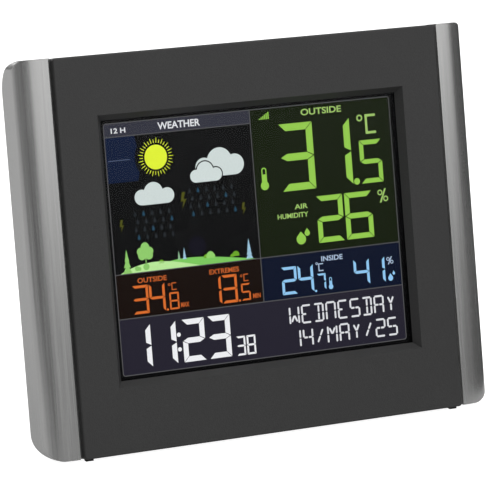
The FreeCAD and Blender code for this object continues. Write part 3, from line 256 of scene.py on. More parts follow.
def battery_sleeve(name):
    """A printed cell: a dark sleeve, a copper-coloured end band and bare metal at the ends."""
    material, tree, shader = blank_material(name)
    low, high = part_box("battery_low")
    source = node(tree, "ShaderNodeTexCoord")
    split = node(tree, "ShaderNodeSeparateXYZ")
    tree.links.new(source.outputs["Object"], split.inputs["Vector"])
    scuff = noise(tree, coordinates(tree, (0.1, 1.0, 1.0)), 0.0008)
    sleeve = blended(tree, ranged(tree, scuff, 0.0, 1.0), tone(28, 30, 34), tone(44, 46, 50))
    copper = blended(tree, ranged(tree, scuff, 0.0, 1.0), tone(176, 112, 58), tone(196, 130, 72))
    along = ranged(tree, split.outputs["X"], 0.0, 1.0, low.x, high.x)
    band = node(tree, "ShaderNodeMath", {1: 0.72}, operation="GREATER_THAN")
    tree.links.new(along, band.inputs[0])
    printed = blended(tree, band.outputs["Value"], sleeve, copper)
    tree.links.new(printed, shader.inputs["Base Color"])
    tree.links.new(ranged(tree, scuff, 0.25, 0.4), shader.inputs["Roughness"])
    bumped(tree, shader, scuff, 0.00001)
    shader.inputs["Metallic"].default_value = 0.35
    return material


def led_plate(name):
    """The light guide: milky acrylic with a grid of printed scatter dots."""
    material, tree, shader = blank_material(name)
    dots = node(tree, "ShaderNodeTexVoronoi", {"Scale": 900.0})
    tree.links.new(coordinates(tree, (1.0, 1.0, 1.0), LEAN), dots.inputs["Vector"])
    milky = blended(tree, ranged(tree, dots.outputs["Distance"], 0.0, 1.0, 0.2, 0.5),
                    tone(250, 250, 246), tone(205, 214, 216))
    tree.links.new(milky, shader.inputs["Base Color"])
    tree.links.new(ranged(tree, dots.outputs["Distance"], 0.1, 0.25), shader.inputs["Roughness"])
    return material


def slot_materials():
    """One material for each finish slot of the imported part."""
    return {
        "case_plastic": textured("charcoal_abs", (0.032, 0.032, 0.032, 1.0), 0.5, 0.0005, 0.00006,
                                 mottle=0.20, specular=0.35),
        "cover_plastic": textured("black_abs", (0.024, 0.024, 0.025, 1.0), 0.60, 0.0005, 0.00004,
                                  mottle=0.12, specular=0.4),
        "rail_silver": brushed_silver("brushed_silver"),
        "gasket_foam": textured("gasket_foam", (0.012, 0.012, 0.012, 1.0), 0.85, 0.0006, 0.00010,
                                mottle=0.3),
        "clear_window": window_pane("clear_window"),
        "display": dark_glass("display_glass"),
        "film": textured("colour_film", (0.30, 0.32, 0.36, 1.0), 0.25, 0.001, 0.000005, mottle=0.15),
        "light_guide": led_plate("light_guide"),
        "white_plastic": textured("white_abs", (0.72, 0.72, 0.70, 1.0), 0.45, 0.0007, 0.00002,
                                  mottle=0.04),
        "board_green": board_green("circuit_board"),
        "component_black": textured("chip_epoxy", (0.018, 0.018, 0.019, 1.0), 0.5, 0.0003, 0.00002,
                                    mottle=0.2),
        "copper_wire": textured("enamelled_copper", (0.62, 0.27, 0.12, 1.0), 0.28, 0.0004, 0.00001,
                                metallic=0.9, mottle=0.1, stretch=(0.05, 1.0, 0.05)),
        "battery_label": battery_sleeve("battery_sleeve"),
        "spring_steel": textured("nickel_spring", (0.60, 0.58, 0.54, 1.0), 0.26, 0.0005, 0.00001,
                                 metallic=1.0, mottle=0.08),
        "foot_rubber": textured("foot_rubber", (0.016, 0.016, 0.016, 1.0), 0.78, 0.0004, 0.00004,
                                mottle=0.25, specular=0.3),
        "screw_steel": textured("zinc_steel", (0.52, 0.53, 0.55, 1.0), 0.32, 0.0006, 0.00001,
                                metallic=1.0, mottle=0.1),
        "button_plastic": textured("button_abs", (0.055, 0.056, 0.058, 1.0), 0.42, 0.0006, 0.00002,
                                   mottle=0.10, coat=0.05),
    }


def dress_nodes():
    """Gives every CAD node the material of its slot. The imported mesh's material has the slot's name."""
    materials = slot_materials()
    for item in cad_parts.values():
        for i, packed in enumerate(item.data.materials):
            item.data.materials[i] = materials[packed.name.split(".")[0]]


# ---------------------------------------------------------------- shapes for the display

def arc(centre, radius, start, end, steps=CURVE_STEPS):
    """Points of a circular arc, angles in degrees, anticlockwise from the right."""
    return [(centre[0] + radius * math.cos(math.radians(start + (end - start) * i / steps)),
             centre[1] + radius * math.sin(math.radians(start + (end - start) * i / steps)))
            for i in range(steps + 1)]


def disc(centre, radius, steps=CURVE_STEPS):
    return arc(centre, radius, 0.0, 360.0, steps)[:-1]


def rectangle(left, bottom, right, top):
    return [(left, bottom), (right, bottom), (right, top), (left, top)]


def rounded(left, bottom, right, top, radius, steps=8):
    corners = ((right - radius, top - radius, 0.0), (left + radius, top - radius, 90.0),
               (left + radius, bottom + radius, 180.0), (right - radius, bottom + radius, 270.0))
    points = []
    for x, y, start in corners:
        points += arc((x, y), radius, start, start + 90.0, steps)
    return points


def drop(centre, radius, tip):
    """A water drop: a round belly and two straight sides up to a tip."""
    return arc(centre, radius, 150.0, 390.0, 32) + [(centre[0], centre[1] + tip)]


def puff(centre, circles, base=None, grow=0.0):
    """The outline of overlapping circles, seen from a centre point, with a flat base.

    Each circle is (x, y, radius). The base is flat between the outermost circles.
    """
    steps = 4 * CURVE_STEPS
    first = min(circle[0] for circle in circles)
    last = max(circle[0] for circle in circles)
    points = []
    for i in range(steps):
        angle = 2.0 * math.pi * i / steps
        dx, dy = math.cos(angle), math.sin(angle)
        reach = 0.0
        for x, y, radius in circles:
            along = (x - centre[0]) * dx + (y - centre[1]) * dy
            aside = (x - centre[0]) * dy - (y - centre[1]) * dx
            inside = (radius + grow) ** 2 - aside ** 2
            if inside > 0.0:
                reach = max(reach, along + math.sqrt(inside))
        if base is not None and dy < 0.0:
            floor = (base - grow - centre[1]) / dy
            if first <= centre[0] + dx * floor <= last:
                reach = floor
        points.append((centre[0] + dx * reach, centre[1] + dy * reach))
    return points


class Layer:
    """Flat shapes of one colour: each is a thin closed prism in front of the LCD glass."""

    def __init__(self, name, level, colour, glow=1.0):
        self.name = name
        self.mesh = bmesh.new()
        self.low = LAYER_START + LAYER_STEP * level
        self.high = self.low + LAYER_THICKNESS
        self.material = lit_ink(name, colour, glow)

    def shape(self, outline):
        """Adds one outline, as a prism."""
        lower = [self.mesh.verts.new((x, y, self.low)) for x, y in outline]
        upper = [self.mesh.verts.new((x, y, self.high)) for x, y in outline]
        self.mesh.faces.new(upper)
        self.mesh.faces.new(lower[::-1])
        for i in range(len(outline)):
            j = (i + 1) % len(outline)
            self.mesh.faces.new((lower[i], lower[j], upper[j], upper[i]))

    def ring(self, outer, inner):
        """Adds the band between two outlines that have the same number of points."""
        loops = [[self.mesh.verts.new((x, y, z)) for x, y in outline]
                 for outline, z in ((outer, self.low), (outer, self.high),
                                    (inner, self.high), (inner, self.low))]
        count = len(outer)
        for k in range(4):
            a, b = loops[k], loops[(k + 1) % 4]
            for i in range(count):
                j = (i + 1) % count
                self.mesh.faces.new((a[i], a[j], b[j], b[i]))

    def text(self, words, left, bottom, right, top, weight=0.02):
        """Adds a word that fills a box."""
        curve = bpy.data.curves.new(self.name + "_text", "FONT")
        curve.body = words
        curve.offset = weight
        curve.extrude = 0.5
        curve.resolution_u = 4
        holder = bpy.data.objects.new(self.name + "_text", curve)
        bpy.context.scene.collection.objects.link(holder)
        bpy.context.view_layer.update()
        evaluated = holder.evaluated_get(bpy.context.evaluated_depsgraph_get())
        letters = bpy.data.meshes.new_from_object(evaluated)
        xs = [vertex.co.x for vertex in letters.vertices]
        ys = [vertex.co.y for vertex in letters.vertices]
        across = (right - left) / (max(xs) - min(xs))
        upward = (top - bottom) / (max(ys) - min(ys))
        for vertex in letters.vertices:
            vertex.co.x = left + (vertex.co.x - min(xs)) * across
            vertex.co.y = bottom + (vertex.co.y - min(ys)) * upward
            vertex.co.z = self.high if vertex.co.z > 0.0 else self.low
        self.mesh.from_mesh(letters)
        bpy.data.objects.remove(holder)
        bpy.data.meshes.remove(letters)
        bpy.data.curves.remove(curve)

    def finish(self):
        """Turns the shapes into one piece that rides on the case."""
        bmesh.ops.remove_doubles(self.mesh, verts=self.mesh.verts, dist=0.0005)
        bmesh.ops.recalc_face_normals(self.mesh, faces=self.mesh.faces)
        mesh = bpy.data.meshes.new(self.name)
        self.mesh.to_mesh(mesh)
        self.mesh.free()
        mesh.transform(DISPLAY)
        mesh.materials.append(self.material)
        piece = bpy.data.objects.new(self.name, mesh)
        bpy.context.scene.collection.objects.link(piece)
        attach(piece, "case")
        return piece


# ---------------------------------------------------------------- digits and letters

DIGITS = {"0": "abcdef", "1": "bc", "2": "abged", "3": "abgcd", "4": "fgbc", "5": "afgcd",
          "6": "afgedc", "7": "abc", "8": "abcdefg", "9": "abcdfg", "C": "afed"}


def digit(layer, character, left, bottom, right, top, stroke, gap=0.16):
    """A seven-segment digit: mitred corners and pointed middle bars, with thin gaps."""
    middle = (bottom + top) / 2.0
    half = stroke / 2.0
    notch = gap * 1.3
    segments = {
        "a": [(left + gap, top), (right - gap, top),
              (right - stroke - gap, top - stroke), (left + stroke + gap, top - stroke)],
        "d": [(left + gap, bottom), (left + stroke + gap, bottom + stroke),
              (right - stroke - gap, bottom + stroke), (right - gap, bottom)],
        "b": [(right, top - gap), (right, middle + notch), (right - stroke, middle + half + notch),
              (right - stroke, top - stroke - gap)],
        "c": [(right, middle - notch), (right, bottom + gap), (right - stroke, bottom + stroke + gap),
              (right - stroke, middle - half - notch)],
        "f": [(left, top - gap), (left + stroke, top - stroke - gap),
              (left + stroke, middle + half + notch), (left, middle + notch)],
        "e": [(left, middle - notch), (left + stroke, middle - half - notch),
              (left + stroke, bottom + stroke + gap), (left, bottom + gap)],
        "g": [(left + 2.0 * gap, middle), (left + stroke + gap, middle + half),
              (right - stroke - gap, middle + half), (right - 2.0 * gap, middle),
              (right - stroke - gap, middle - half), (left + stroke + gap, middle - half)],
    }
    for name in DIGITS[character]:
        layer.shape(segments[name])


LETTERS = {"A": "abcefgh", "D": "abcdjm", "E": "adefg", "M": "bcefik", "N": "abcef",
           "S": "afghcd", "W": "bcefln", "Y": "ikm", "/": "kl", "1": "bc", "2": "abghed",
           "4": "fghbc", "5": "afghcd"}


def bar(start, end, stroke, gap):
    """A straight stroke between two corners, with slanted tips and a gap at each end."""
    along = Vector((end[0] - start[0], end[1] - start[1]))
    length = along.length
    along = along / length
    side = Vector((-along.y, along.x)) * stroke / 2.0
    origin = Vector(start)
    tip = stroke * 0.35
    near = gap + tip
    points = [origin + along * gap, origin + along * near - side,
              origin + along * (length - near) - side, origin + along * (length - gap),
              origin + along * (length - near) + side, origin + along * near + side]
    return [(point.x, point.y) for point in points]


def letter(layer, character, left, bottom, right, top, stroke, gap=0.1):
    """A fourteen-segment character, as thin bars between nine corners."""
    half = stroke / 2.0
    xs = (left + half, (left + right) / 2.0, right - half)
    ys = (bottom + half, (bottom + top) / 2.0, top - half)
    inner = stroke * 0.9
    segments = {
        "a": ((xs[0], ys[2]), (xs[2], ys[2])), "b": ((xs[2], ys[1]), (xs[2], ys[2])),
        "c": ((xs[2], ys[0]), (xs[2], ys[1])), "d": ((xs[0], ys[0]), (xs[2], ys[0])),
        "e": ((xs[0], ys[0]), (xs[0], ys[1])), "f": ((xs[0], ys[1]), (xs[0], ys[2])),
        "g": ((xs[0], ys[1]), (xs[1], ys[1])), "h": ((xs[1], ys[1]), (xs[2], ys[1])),
        "i": ((xs[0] + inner, ys[2] - inner), (xs[1], ys[1])),
        "j": ((xs[1], ys[1]), (xs[1], ys[2] - half)),
        "k": ((xs[1], ys[1]), (xs[2] - inner, ys[2] - inner)),
        "l": ((xs[0] + inner, ys[0] + inner), (xs[1], ys[1])),
        "m": ((xs[1], ys[0] + half), (xs[1], ys[1])),
        "n": ((xs[1], ys[1]), (xs[2] - inner, ys[0] + inner)),
    }
    for name in LETTERS[character]:
        start, end = segments[name]
        layer.shape(bar(start, end, stroke, gap))


def row(layer, characters, left, bottom, top, pitch, width, stroke):
    """A row of fourteen-segment characters in equal cells; a space leaves a cell empty."""
    for i, character in enumerate(characters):
        if character != " ":
            letter(layer, character, left + i * pitch, bottom, left + i * pitch + width, top, stroke)


def degrees_c(layer, ring_centre, radius, left, bottom, right, top, stroke):
    """A degree ring and a squared C."""
    layer.ring(disc(ring_centre, radius), disc(ring_centre, radius - stroke * 0.6))
    layer.shape(rectangle(left, bottom, left + stroke, top))
    layer.shape(rectangle(left + stroke, top - stroke, right, top))
    layer.shape(rectangle(left + stroke, bottom, right, bottom + stroke))


def percent(layer, left, bottom, right, top, stroke):
    width, height = right - left, top - bottom
    radius = width * 0.24
    upper = (left + radius, top - radius - height * 0.06)
    lower = (right - radius, bottom + radius + height * 0.06)
    for centre in (upper, lower):
        layer.ring(disc(centre, radius), disc(centre, radius - stroke * 0.75))
    slash = stroke * 0.6
    layer.shape([(left + width * 0.16, bottom), (left + width * 0.16 + 2.0 * slash, bottom),
                 (right - width * 0.16, top), (right - width * 0.16 - 2.0 * slash, top)])


def thermometer(layer, centre, bottom, top, width):
    """A tube with a round bulb, filled to about two thirds."""
    radius = width / 2.0
    tube = radius * 0.62
    bulb = (centre, bottom + radius)
    level = bottom + (top - bottom) * 0.7
    spread = math.degrees(math.asin(tube / radius))
    layer.shape([(centre + tube, level)] + [(centre - tube, level)]
                + arc(bulb, radius, 90.0 + spread, 450.0 - spread, 32))
    cap = (centre, top - tube)
    line = tube * 0.42
    outer = [(centre + tube, level + 0.05)] + arc(cap, tube, 0.0, 180.0, 16) + [(centre - tube, level + 0.05)]
    inner = [(centre + tube - line, level + 0.05)] + arc(cap, tube - line, 0.0, 180.0, 16) \
        + [(centre - tube + line, level + 0.05)]
    layer.shape(outer + inner[::-1])


# ---------------------------------------------------------------- what the display shows

HEADER_LINE = 88.8
READING_LINE = 37.8
CLOCK_LINE = 21.2
SPLIT = 60.4
LINE = 0.34


def display_panels():
    """The tinted fields behind the readings, and the grey lines between them."""
    right = DISPLAY_WIDTH - LINE
    fields = (("field_header", tone(54, 55, 66), (LINE, HEADER_LINE, SPLIT, DISPLAY_HEIGHT - LINE)),
              ("field_outside", tone(22, 30, 13), (SPLIT, READING_LINE, right, DISPLAY_HEIGHT - LINE)),
              ("field_records", tone(24, 15, 11), (LINE, CLOCK_LINE, SPLIT, READING_LINE)),
              ("field_inside", tone(15, 22, 42), (SPLIT, CLOCK_LINE, right, READING_LINE)),
              ("field_clock", tone(40, 38, 50), (LINE, LINE, right, CLOCK_LINE)))
    for name, colour, corners in fields:
        field = Layer(name, 0, colour)
        field.shape(rectangle(*corners))
        field.finish()
    lines = Layer("field_lines", 1, tone(88, 88, 90))
    lines.ring(rounded(0.0, 0.0, DISPLAY_WIDTH, DISPLAY_HEIGHT, 1.1),
               rounded(LINE, LINE, DISPLAY_WIDTH - LINE, DISPLAY_HEIGHT - LINE, 1.1 - LINE))
    half = LINE / 2.0
    inside = DISPLAY_WIDTH - LINE
    for height in (READING_LINE, CLOCK_LINE):
        lines.shape(rectangle(LINE, height - half, inside, height + half))
    lines.shape(rectangle(LINE, HEADER_LINE - half, SPLIT - half, HEADER_LINE + half))
    lines.shape(rectangle(SPLIT - half, READING_LINE + half, SPLIT + half, DISPLAY_HEIGHT - LINE))
    lines.shape(rectangle(SPLIT - half, CLOCK_LINE + half, SPLIT + half, READING_LINE - half))
    lines.finish()


SUN = (20.4, 79.9)
SUN_RADIUS = 4.6


def display_sky():
    """The forecast picture: a blue corner, the sun with its rays, and three clouds."""
    patch = Layer("sky_patch", 0, tone(20, 31, 58))
    hollow = arc(SUN, 8.6, 215.0, 148.0, 24)
    patch.shape([(LINE, 71.8)] + [(12.6, 71.8)] + hollow + [(12.2, HEADER_LINE)] + [(LINE, HEADER_LINE)])
    patch.finish()
    horizon = Layer("sky_patch_line", 1, tone(84, 96, 124))
    horizon.shape(rectangle(1.0, 79.85, 9.8, 80.15))
    horizon.finish()

    sun = Layer("sun", 2, tone(231, 248, 58))
    sun.shape(disc(SUN, SUN_RADIUS, 2 * CURVE_STEPS))
    rays = 34
    for i in range(rays):
        angle = 2.0 * math.pi * i / rays
        outer = 7.25 if i % 2 == 0 else 6.7
        across = Vector((-math.sin(angle), math.cos(angle))) * 0.15
        out = Vector((math.cos(angle), math.sin(angle)))
        centre = Vector(SUN)
        root, end = centre + out * 5.35, centre + out * outer
        sun.shape([tuple(root - across), tuple(end - across * 0.5),
                   tuple(end + across * 0.5), tuple(root + across)])
    sun.finish()

    clouds = Layer("clouds_back", 1, tone(212, 223, 221))
    clouds.shape(puff((18.5, 65.5), ((13.4, 65.5, 2.9), (18.3, 66.9, 3.9), (23.8, 65.4, 2.9)), 62.5))
    clouds.shape(puff((46.0, 74.0), ((39.9, 74.2, 3.6), (46.4, 75.9, 5.2), (52.6, 74.3, 3.9)), 70.4))
    clouds.finish()
    small = ((36.2, 71.2, 2.4), (40.1, 73.0, 3.4), (44.5, 71.3, 2.5))
    edge = Layer("cloud_edge", 2, tone(14, 15, 16))
    edge.shape(puff((40.1, 71.5), small, 68.8, grow=0.45))
    edge.finish()
    front = Layer("cloud_front", 3, tone(214, 225, 223))
    front.shape(puff((40.1, 71.5), small, 68.8))
    front.finish()


def display_ghosts():
    """Segments that aren't lit: rows of rain drops and bolts, barely brighter than the glass."""
    faint = Layer("ghost_drops", 1, tone(44, 49, 53))
    bluish = Layer("ghost_drops_blue", 1, tone(38, 74, 96))
    for left, bottom, columns in ((11.0, 50.5, 5), (34.0, 57.0, 6)):
        for line in range(4):
            for column in range(columns):
                centre = (left + 3.5 * column - 0.9 * (line % 2), bottom + 2.9 * line)
                layer = bluish if (line + 2 * column) % 5 == 0 else faint
                layer.shape(drop(centre, 0.55, 1.5))
    faint.finish()
    bluish.finish()
    bolts = Layer("ghost_bolts", 1, tone(82, 84, 26))
    for left, bottom, size in ((29.0, 59.8, 1.0), (3.4, 53.5, 0.75), (54.0, 55.0, 0.75)):
        zigzag = ((0.6, 0.0), (2.6, 3.4), (1.4, 3.4), (2.2, 6.0), (0.9, 6.0), (0.2, 2.6), (1.3, 2.6))
        bolts.shape([(left + x * size, bottom + y * size) for x, y in zigzag])
    bolts.finish()
    shade = Layer("ghost_shades", 0, tone(20, 19, 30))
    shade.shape(disc((34.5, 45.2), 3.6))
    shade.finish()


def fir(layer, centre, bottom, top, width, tiers=4):
    """A fir tree: a stack of skirts that narrow to the tip."""
    right = []
    for i in range(tiers):
        low = bottom + (top - bottom) * i / tiers
        high = bottom + (top - bottom) * (i + 1) / tiers
        reach = width / 2.0 * (1.0 - i / tiers)
        right.append((reach, low))
        right.append((reach * 0.5 * (1.0 - 1.0 / tiers), high))
    right[-1] = (0.0, top)
    left = [(-x, y) for x, y in right[-2::-1]]
    layer.shape([(centre + x, y) for x, y in right + left])


def ridge(layer, left, right, base, rise, power):
    """Rolling ground: a smooth hump over a straight base."""
    steps = 32
    hump = [(left + (right - left) * i / steps,
             base + rise * math.sin(math.pi * (i / steps) ** power)) for i in range(1, steps)]
    layer.shape([(left, base)] + [(right, base)] + hump[::-1])


def display_ground():
    """The landscape under the sky."""
    base = READING_LINE + LINE / 2.0
    far = Layer("ground_far", 1, tone(128, 206, 98))
    ridge(far, 16.0, 58.2, base, 3.3, 0.62)
    far.finish()
    near = Layer("ground_near", 2, tone(190, 238, 158))
    ridge(near, 2.4, 35.0, base, 3.2, 0.85)
    near.finish()
    green = Layer("trees_green", 3, tone(148, 208, 112))
    fir(green, 5.3, base, 46.8, 3.8)
    crown = ((13.0, 47.1, 1.7), (11.2, 45.4, 1.6), (14.7, 45.4, 1.6),
             (11.6, 43.9, 1.6), (14.4, 43.9, 1.6))
    green.shape(puff((13.0, 45.2), crown))
    green.shape(rectangle(12.85, 41.2, 13.2, 43.0))
    green.finish()
    pale = Layer("bushes_pale", 3, tone(150, 214, 110))
    pale.shape(puff((39.6, 40.9), ((39.6, 41.2, 1.5), (38.7, 40.9, 0.9), (40.6, 40.9, 0.9)), 40.2))
    pale.finish()
    dark = Layer("bushes_dark", 2, tone(112, 172, 44))
    domes = ((37.9, 41.0, 1.1), (19.3, 41.0, 1.0), (50.2, 40.6, 1.4), (48.6, 40.2, 0.8))
    for centre, height, radius in domes:
        dark.shape(arc((centre, height - 0.3), radius, -20.0, 200.0, 24))
    dark.finish()
    shrubs = Layer("bushes_low", 3, tone(140, 204, 108))
    for centre, height, radius in ((13.0, 39.7, 1.25), (9.2, 39.4, 0.9), (10.2, 39.2, 0.7)):
        shrubs.shape(disc((centre, height), radius, 24))
    shrubs.finish()
    blue = Layer("trees_blue", 3, tone(160, 200, 224))
    fir(blue, 28.9, 40.9, 45.2, 1.7)
    fir(blue, 55.8, 38.3, 45.8, 3.0, 5)
    blue.finish()
    teal = Layer("tree_teal", 3, tone(150, 190, 152))
    fir(teal, 26.6, 40.9, 44.2, 1.4, 3)
    teal.finish()


def display_header():
    white = Layer("ink_header", 2, tone(232, 234, 238))
    white.text("12 H", 3.0, 90.1, 8.9, 92.0)
    white.text("WEATHER", 22.1, 89.9, 39.6, 92.6)
    white.finish()


def display_outside():
    """The green field: outside temperature and humidity."""
    green = Layer("ink_green", 1, tone(152, 207, 82))
    for i in range(6):
        left = 64.2 + 0.74 * i
        green.shape(rectangle(left, 89.8, left + 0.5, 90.2 + 0.45 * i))
    digit(green, "3", 72.0, 61.8, 86.3, 87.3, 2.75)
    digit(green, "1", 88.0, 61.8, 102.3, 87.3, 2.75)
    green.shape(disc((103.9, 62.7), 1.25))
    digit(green, "5", 105.9, 61.6, 115.4, 78.1, 1.75)
    thermometer(green, 64.6, 63.2, 71.7, 3.4)
    digit(green, "2", 85.7, 40.9, 96.9, 58.7, 2.0)
    digit(green, "6", 97.8, 40.9, 109.6, 58.7, 2.0)
    green.shape(drop((78.2, 43.2), 2.0, 2.9))
    green.shape(drop((80.9, 45.3), 1.1, 1.9))
    green.finish()
    pale = Layer("ink_green_pale", 1, tone(166, 204, 112))
    pale.text("OUTSIDE", 82.0, 89.8, 99.3, 92.3)
    pale.text("AIR", 76.4, 54.7, 82.0, 56.6)
    pale.text("HUMIDITY", 68.9, 51.5, 82.0, 53.4)
    degrees_c(pale, (106.9, 86.7), 1.3, 109.2, 80.4, 113.7, 87.9, 0.95)
    percent(pale, 112.3, 53.6, 116.8, 58.9, 0.6)
    pale.finish()


def display_records():
    """The orange field: highest and lowest outside temperature."""
    orange = Layer("ink_orange", 1, tone(222, 112, 48))
    digit(orange, "3", 6.5, 22.5, 12.9, 33.1, 0.98, 0.1)
    digit(orange, "4", 13.3, 22.5, 19.7, 33.1, 0.98, 0.1)
    orange.shape(disc((20.4, 22.9), 0.42, 20))
    digit(orange, "8", 21.4, 22.7, 25.3, 29.1, 0.62, 0.08)
    digit(orange, "1", 36.6, 22.5, 43.0, 33.1, 0.98, 0.1)
    digit(orange, "3", 43.4, 22.5, 49.7, 33.1, 0.98, 0.1)
    orange.shape(disc((50.4, 22.9), 0.42, 20))
    digit(orange, "5", 51.3, 22.7, 55.1, 29.1, 0.62, 0.08)
    orange.finish()
    pale = Layer("ink_orange_pale", 1, tone(200, 100, 46))
    pale.text("OUTSIDE", 8.9, 33.9, 20.9, 35.8)
    pale.text("EXTREMES", 38.6, 33.9, 51.0, 35.8)
    pale.text("MAX", 25.9, 23.1, 29.3, 24.9)
    pale.text("MIN", 56.0, 23.1, 59.2, 24.9)
    for left in (21.7, 51.7):
        degrees_c(pale, (left, 32.1), 0.5, left + 0.9, 29.9, left + 2.9, 32.7, 0.36)
    pale.finish()


def display_inside():
    """The blue field: inside temperature and humidity."""
    blue = Layer("ink_blue", 1, tone(150, 205, 248))
    digit(blue, "2", 68.6, 22.8, 75.0, 33.3, 1.1, 0.1)
    digit(blue, "4", 75.6, 22.8, 82.1, 33.3, 1.1, 0.1)
    blue.shape(disc((82.8, 22.9), 0.45, 20))
    digit(blue, "7", 83.6, 23.1, 87.3, 29.3, 0.75, 0.08)
    digit(blue, "4", 99.6, 23.1, 106.3, 32.9, 1.1, 0.1)
    digit(blue, "1", 106.6, 23.1, 113.1, 32.9, 1.1, 0.1)
    thermometer(blue, 89.3, 22.9, 27.5, 1.9)
    blue.shape(drop((115.3, 24.3), 1.05, 1.8))
    blue.shape(drop((116.8, 26.0), 0.55, 1.1))
    blue.finish()
    pale = Layer("ink_blue_pale", 1, tone(176, 196, 222))
    pale.text("INSIDE", 86.0, 33.8, 95.2, 35.8)
    degrees_c(pale, (83.9, 33.2), 0.5, 84.5, 30.2, 86.6, 33.2, 0.42)
    percent(pale, 114.0, 29.6, 117.0, 32.6, 0.42)
    pale.finish()


def display_clock():
    """The bottom strip: the time in large digits, the day and the date in small letters."""
    white = Layer("ink_white", 1, tone(246, 247, 250))
    for character, left in (("1", 3.3), ("1", 13.7), ("2", 25.5), ("3", 36.2)):
        digit(white, character, left, 2.4, left + 9.2, 18.4, 2.05, 0.12)
    for height in (7.5, 13.0):
        white.shape(disc((24.0, height), 0.8, 24))
    for character, left in (("3", 47.6), ("8", 51.9)):
        digit(white, character, left, 2.2, left + 3.7, 9.5, 0.72, 0.08)
    white.finish()
    fine = Layer("ink_white_fine", 1, tone(228, 229, 234))
    row(fine, " WEDNESDAY", 65.3, 11.1, 18.3, 5.22, 4.45, 0.72)
    row(fine, "14/MAY/25", 70.5, 2.2, 9.3, 5.22, 4.45, 0.72)
    fine.finish()


# ---------------------------------------------------------------- camera, floor and light

CAMERA_TURN = math.radians(-26.72)
CAMERA_HEIGHT = math.radians(13.48)
CAMERA_DISTANCE = 1.3148             # in metres, as are the offsets of the aim
CAMERA_LENS = 257.7                  # in mm
AIM_FROM_GLASS = (0.0, -0.005813, -0.000143)
AIM_RIGHT = -0.00723
AIM_UP = -0.00262
FLOOR_RADIUS = 4.0
PAPER_SEEN = 0.95                    # the paper's glow to the camera, and to all other rays
PAPER_UNSEEN = 0.20
WORLD_HORIZON = 0.22                 # the world's strength, level and nearly overhead
WORLD_ABOVE = 0.75
CARD_HEIGHT = 0.9
CARD_OFF_FLOOR = 0.002
CARD_DIM_BELOW = 0.08                # a card's glow changes between these two heights
CARD_BRIGHT_ABOVE = 0.28


def camera():
    """A long lens a little above the case, to its left, that aims near the middle of the face."""
    back = Vector((math.sin(CAMERA_TURN) * math.cos(CAMERA_HEIGHT),
                   -math.cos(CAMERA_TURN) * math.cos(CAMERA_HEIGHT), math.sin(CAMERA_HEIGHT)))
    right = Vector((math.cos(CAMERA_TURN), math.sin(CAMERA_TURN), 0.0))
    up = back.cross(right)
    low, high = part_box("lcd_glass")
    aim = (low + high) / 2.0 + Vector(AIM_FROM_GLASS) + AIM_RIGHT * right + AIM_UP * up
    data = bpy.data.cameras.new("camera")
    data.lens = CAMERA_LENS
    data.sensor_width = 36.0
    data.clip_start = 0.05
    data.clip_end = 20.0
    item = bpy.data.objects.new("camera", data)
    item.location = aim + CAMERA_DISTANCE * back
    item.rotation_euler = (-back).to_track_quat("-Z", "Y").to_euler()
    bpy.context.scene.collection.objects.link(item)
    bpy.context.scene.camera = item


def stage_sheet(name, corners, material):
    """A flat sheet of the set, not part of the object."""
    mesh = bpy.data.meshes.new(name)
    mesh.from_pydata(corners, [], [tuple(range(len(corners)))])
    mesh.materials.append(material)
    item = bpy.data.objects.new(name, mesh)
    bpy.context.scene.collection.objects.link(item)
    return item


def paper_white():
    """White seamless paper: pure white in the picture, a little duller in reflections."""
    material, tree, shader = blank_material("paper_white")
    fibre = noise(tree, coordinates(tree), 0.002)
    shade = blended(tree, fibre, (0.42, 0.42, 0.42, 1.0), (0.46, 0.46, 0.46, 1.0))
    tree.links.new(shade, shader.inputs["Base Color"])
    shader.inputs["Roughness"].default_value = 0.9
    shader.inputs["Specular IOR Level"].default_value = 0.0
    shader.inputs["Emission Color"].default_value = (1.0, 1.0, 1.0, 1.0)
    path = node(tree, "ShaderNodeLightPath")
    glow = ranged(tree, path.outputs["Is Camera Ray"], PAPER_UNSEEN, PAPER_SEEN, 0.0, 1.0)
    tree.links.new(glow, shader.inputs["Emission Strength"])
    return material


def card(name, corners, low_glow, high_glow):
    """A card that only reflections see. Its glow runs from low_glow at its foot to high_glow above."""
    material, tree, shader = blank_material(name)
    source = node(tree, "ShaderNodeTexCoord")
    split = node(tree, "ShaderNodeSeparateXYZ")
    tree.links.new(source.outputs["Object"], split.inputs["Vector"])
    glow = ranged(tree, split.outputs["Z"], low_glow, high_glow, CARD_DIM_BELOW, CARD_BRIGHT_ABOVE)
    tree.links.new(glow, shader.inputs["Emission Strength"])
    shader.inputs["Base Color"].default_value = (0.0, 0.0, 0.0, 1.0)
    shader.inputs["Specular IOR Level"].default_value = 0.0
    shader.inputs["Emission Color"].default_value = (1.0, 1.0, 1.0, 1.0)
    item = stage_sheet(name, corners, material)
    item.visible_camera = False
    item.visible_diffuse = False
    item.visible_shadow = False
    item.visible_transmission = False


def upright(start, end):
    """The corners of an upright card between two points of the floor."""
    return [(*start, 0.0), (*end, 0.0), (*end, CARD_HEIGHT), (*start, CARD_HEIGHT)]


def lying(points):
    """The corners of a card that lies just above the floor."""
    return [(x, y, CARD_OFF_FLOOR) for x, y in points]


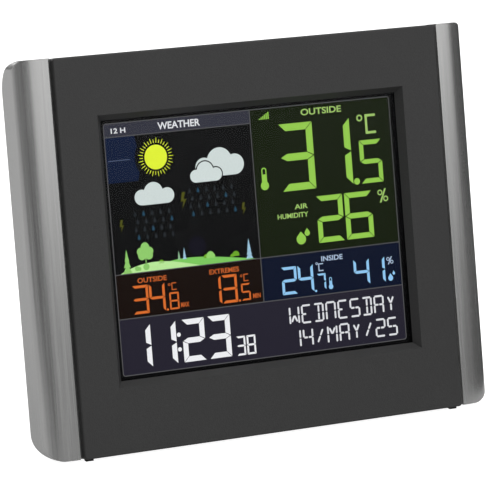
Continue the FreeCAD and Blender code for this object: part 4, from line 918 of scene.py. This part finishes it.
def floor_and_cards():
    """The floor, a softbox at the front right and darker cards around it."""
    stage_sheet("floor", [(x, y, 0.0) for x, y in disc((0.0, 0.0), FLOOR_RADIUS, 64)], paper_white())
    front, left_front, left = (-0.28, -1.15), (-0.70, -0.95), (-0.75, -0.05)
    right_front, right, right_back = (1.08, -0.66), (0.65, 0.5), (0.15, 0.75)
    card("softbox", upright(front, right_front), 0.12, 1.1)
    card("card_front_left", upright(left_front, front), 0.08, 0.10)
    card("card_left", upright(left, left_front), 0.26, 0.24)
    card("card_right", upright(right_front, right), 0.02, 0.04)
    card("card_back_right", upright(right, right_back), 0.05, 0.08)
    beside = ((0.13, -0.20), (0.9, -0.7), (0.65, 0.5), (0.13, 0.75))
    card("card_floor_right", lying(beside), 0.04, 0.04)


def area_light(name, place, target, width, height, power):
    """A rectangular lamp that faces its target; sizes in metres, power in watts."""
    data = bpy.data.lights.new(name, "AREA")
    data.shape = "RECTANGLE"
    data.size = width
    data.size_y = height
    data.energy = power
    item = bpy.data.objects.new(name, data)
    item.location = place
    direction = Vector(target) - Vector(place)
    item.rotation_euler = direction.to_track_quat("-Z", "Y").to_euler()
    bpy.context.scene.collection.objects.link(item)
    return item


def studio_world():
    """Plain white to the camera; for light and reflections, dim at the horizon and brighter above."""
    world = bpy.data.worlds.new("studio")
    world.use_nodes = True
    tree = world.node_tree
    tree.nodes.clear()
    source = node(tree, "ShaderNodeTexCoord")
    split = node(tree, "ShaderNodeSeparateXYZ")
    tree.links.new(source.outputs["Generated"], split.inputs["Vector"])
    upward = ranged(tree, split.outputs["Z"], WORLD_HORIZON, WORLD_ABOVE, 0.0, 0.9)
    room = node(tree, "ShaderNodeBackground", {"Color": (1.0, 1.0, 1.0, 1.0)})
    tree.links.new(upward, room.inputs["Strength"])
    white = node(tree, "ShaderNodeBackground", {"Color": (1.0, 1.0, 1.0, 1.0), "Strength": 1.0})
    path = node(tree, "ShaderNodeLightPath")
    mix = node(tree, "ShaderNodeMixShader")
    output = node(tree, "ShaderNodeOutputWorld")
    tree.links.new(path.outputs["Is Camera Ray"], mix.inputs["Fac"])
    tree.links.new(room.outputs["Background"], mix.inputs[1])
    tree.links.new(white.outputs["Background"], mix.inputs[2])
    tree.links.new(mix.outputs["Shader"], output.inputs["Surface"])
    bpy.context.scene.world = world


def studio():
    """The camera, the set and the lamps. The picture is shown with no film look added."""
    camera()
    floor_and_cards()
    middle = (0.0, 0.0, 0.07)
    area_light("key", (0.8, -1.1, 1.0), middle, 1.0, 0.9, 7.6)
    area_light("top", (0.1, -0.35, 0.85), (0.0, 0.0, 0.08), 0.8, 0.4, 1.6)
    area_light("back", (-0.5, 1.4, 1.0), middle, 1.4, 0.9, 9.0)
    studio_world()
    bpy.context.scene.view_settings.view_transform = "Standard"


# ---------------------------------------------------------------- build

studio()
dress_nodes()
display_panels()
display_sky()
display_ghosts()
display_ground()
display_header()
display_outside()
display_records()
display_inside()
display_clock()
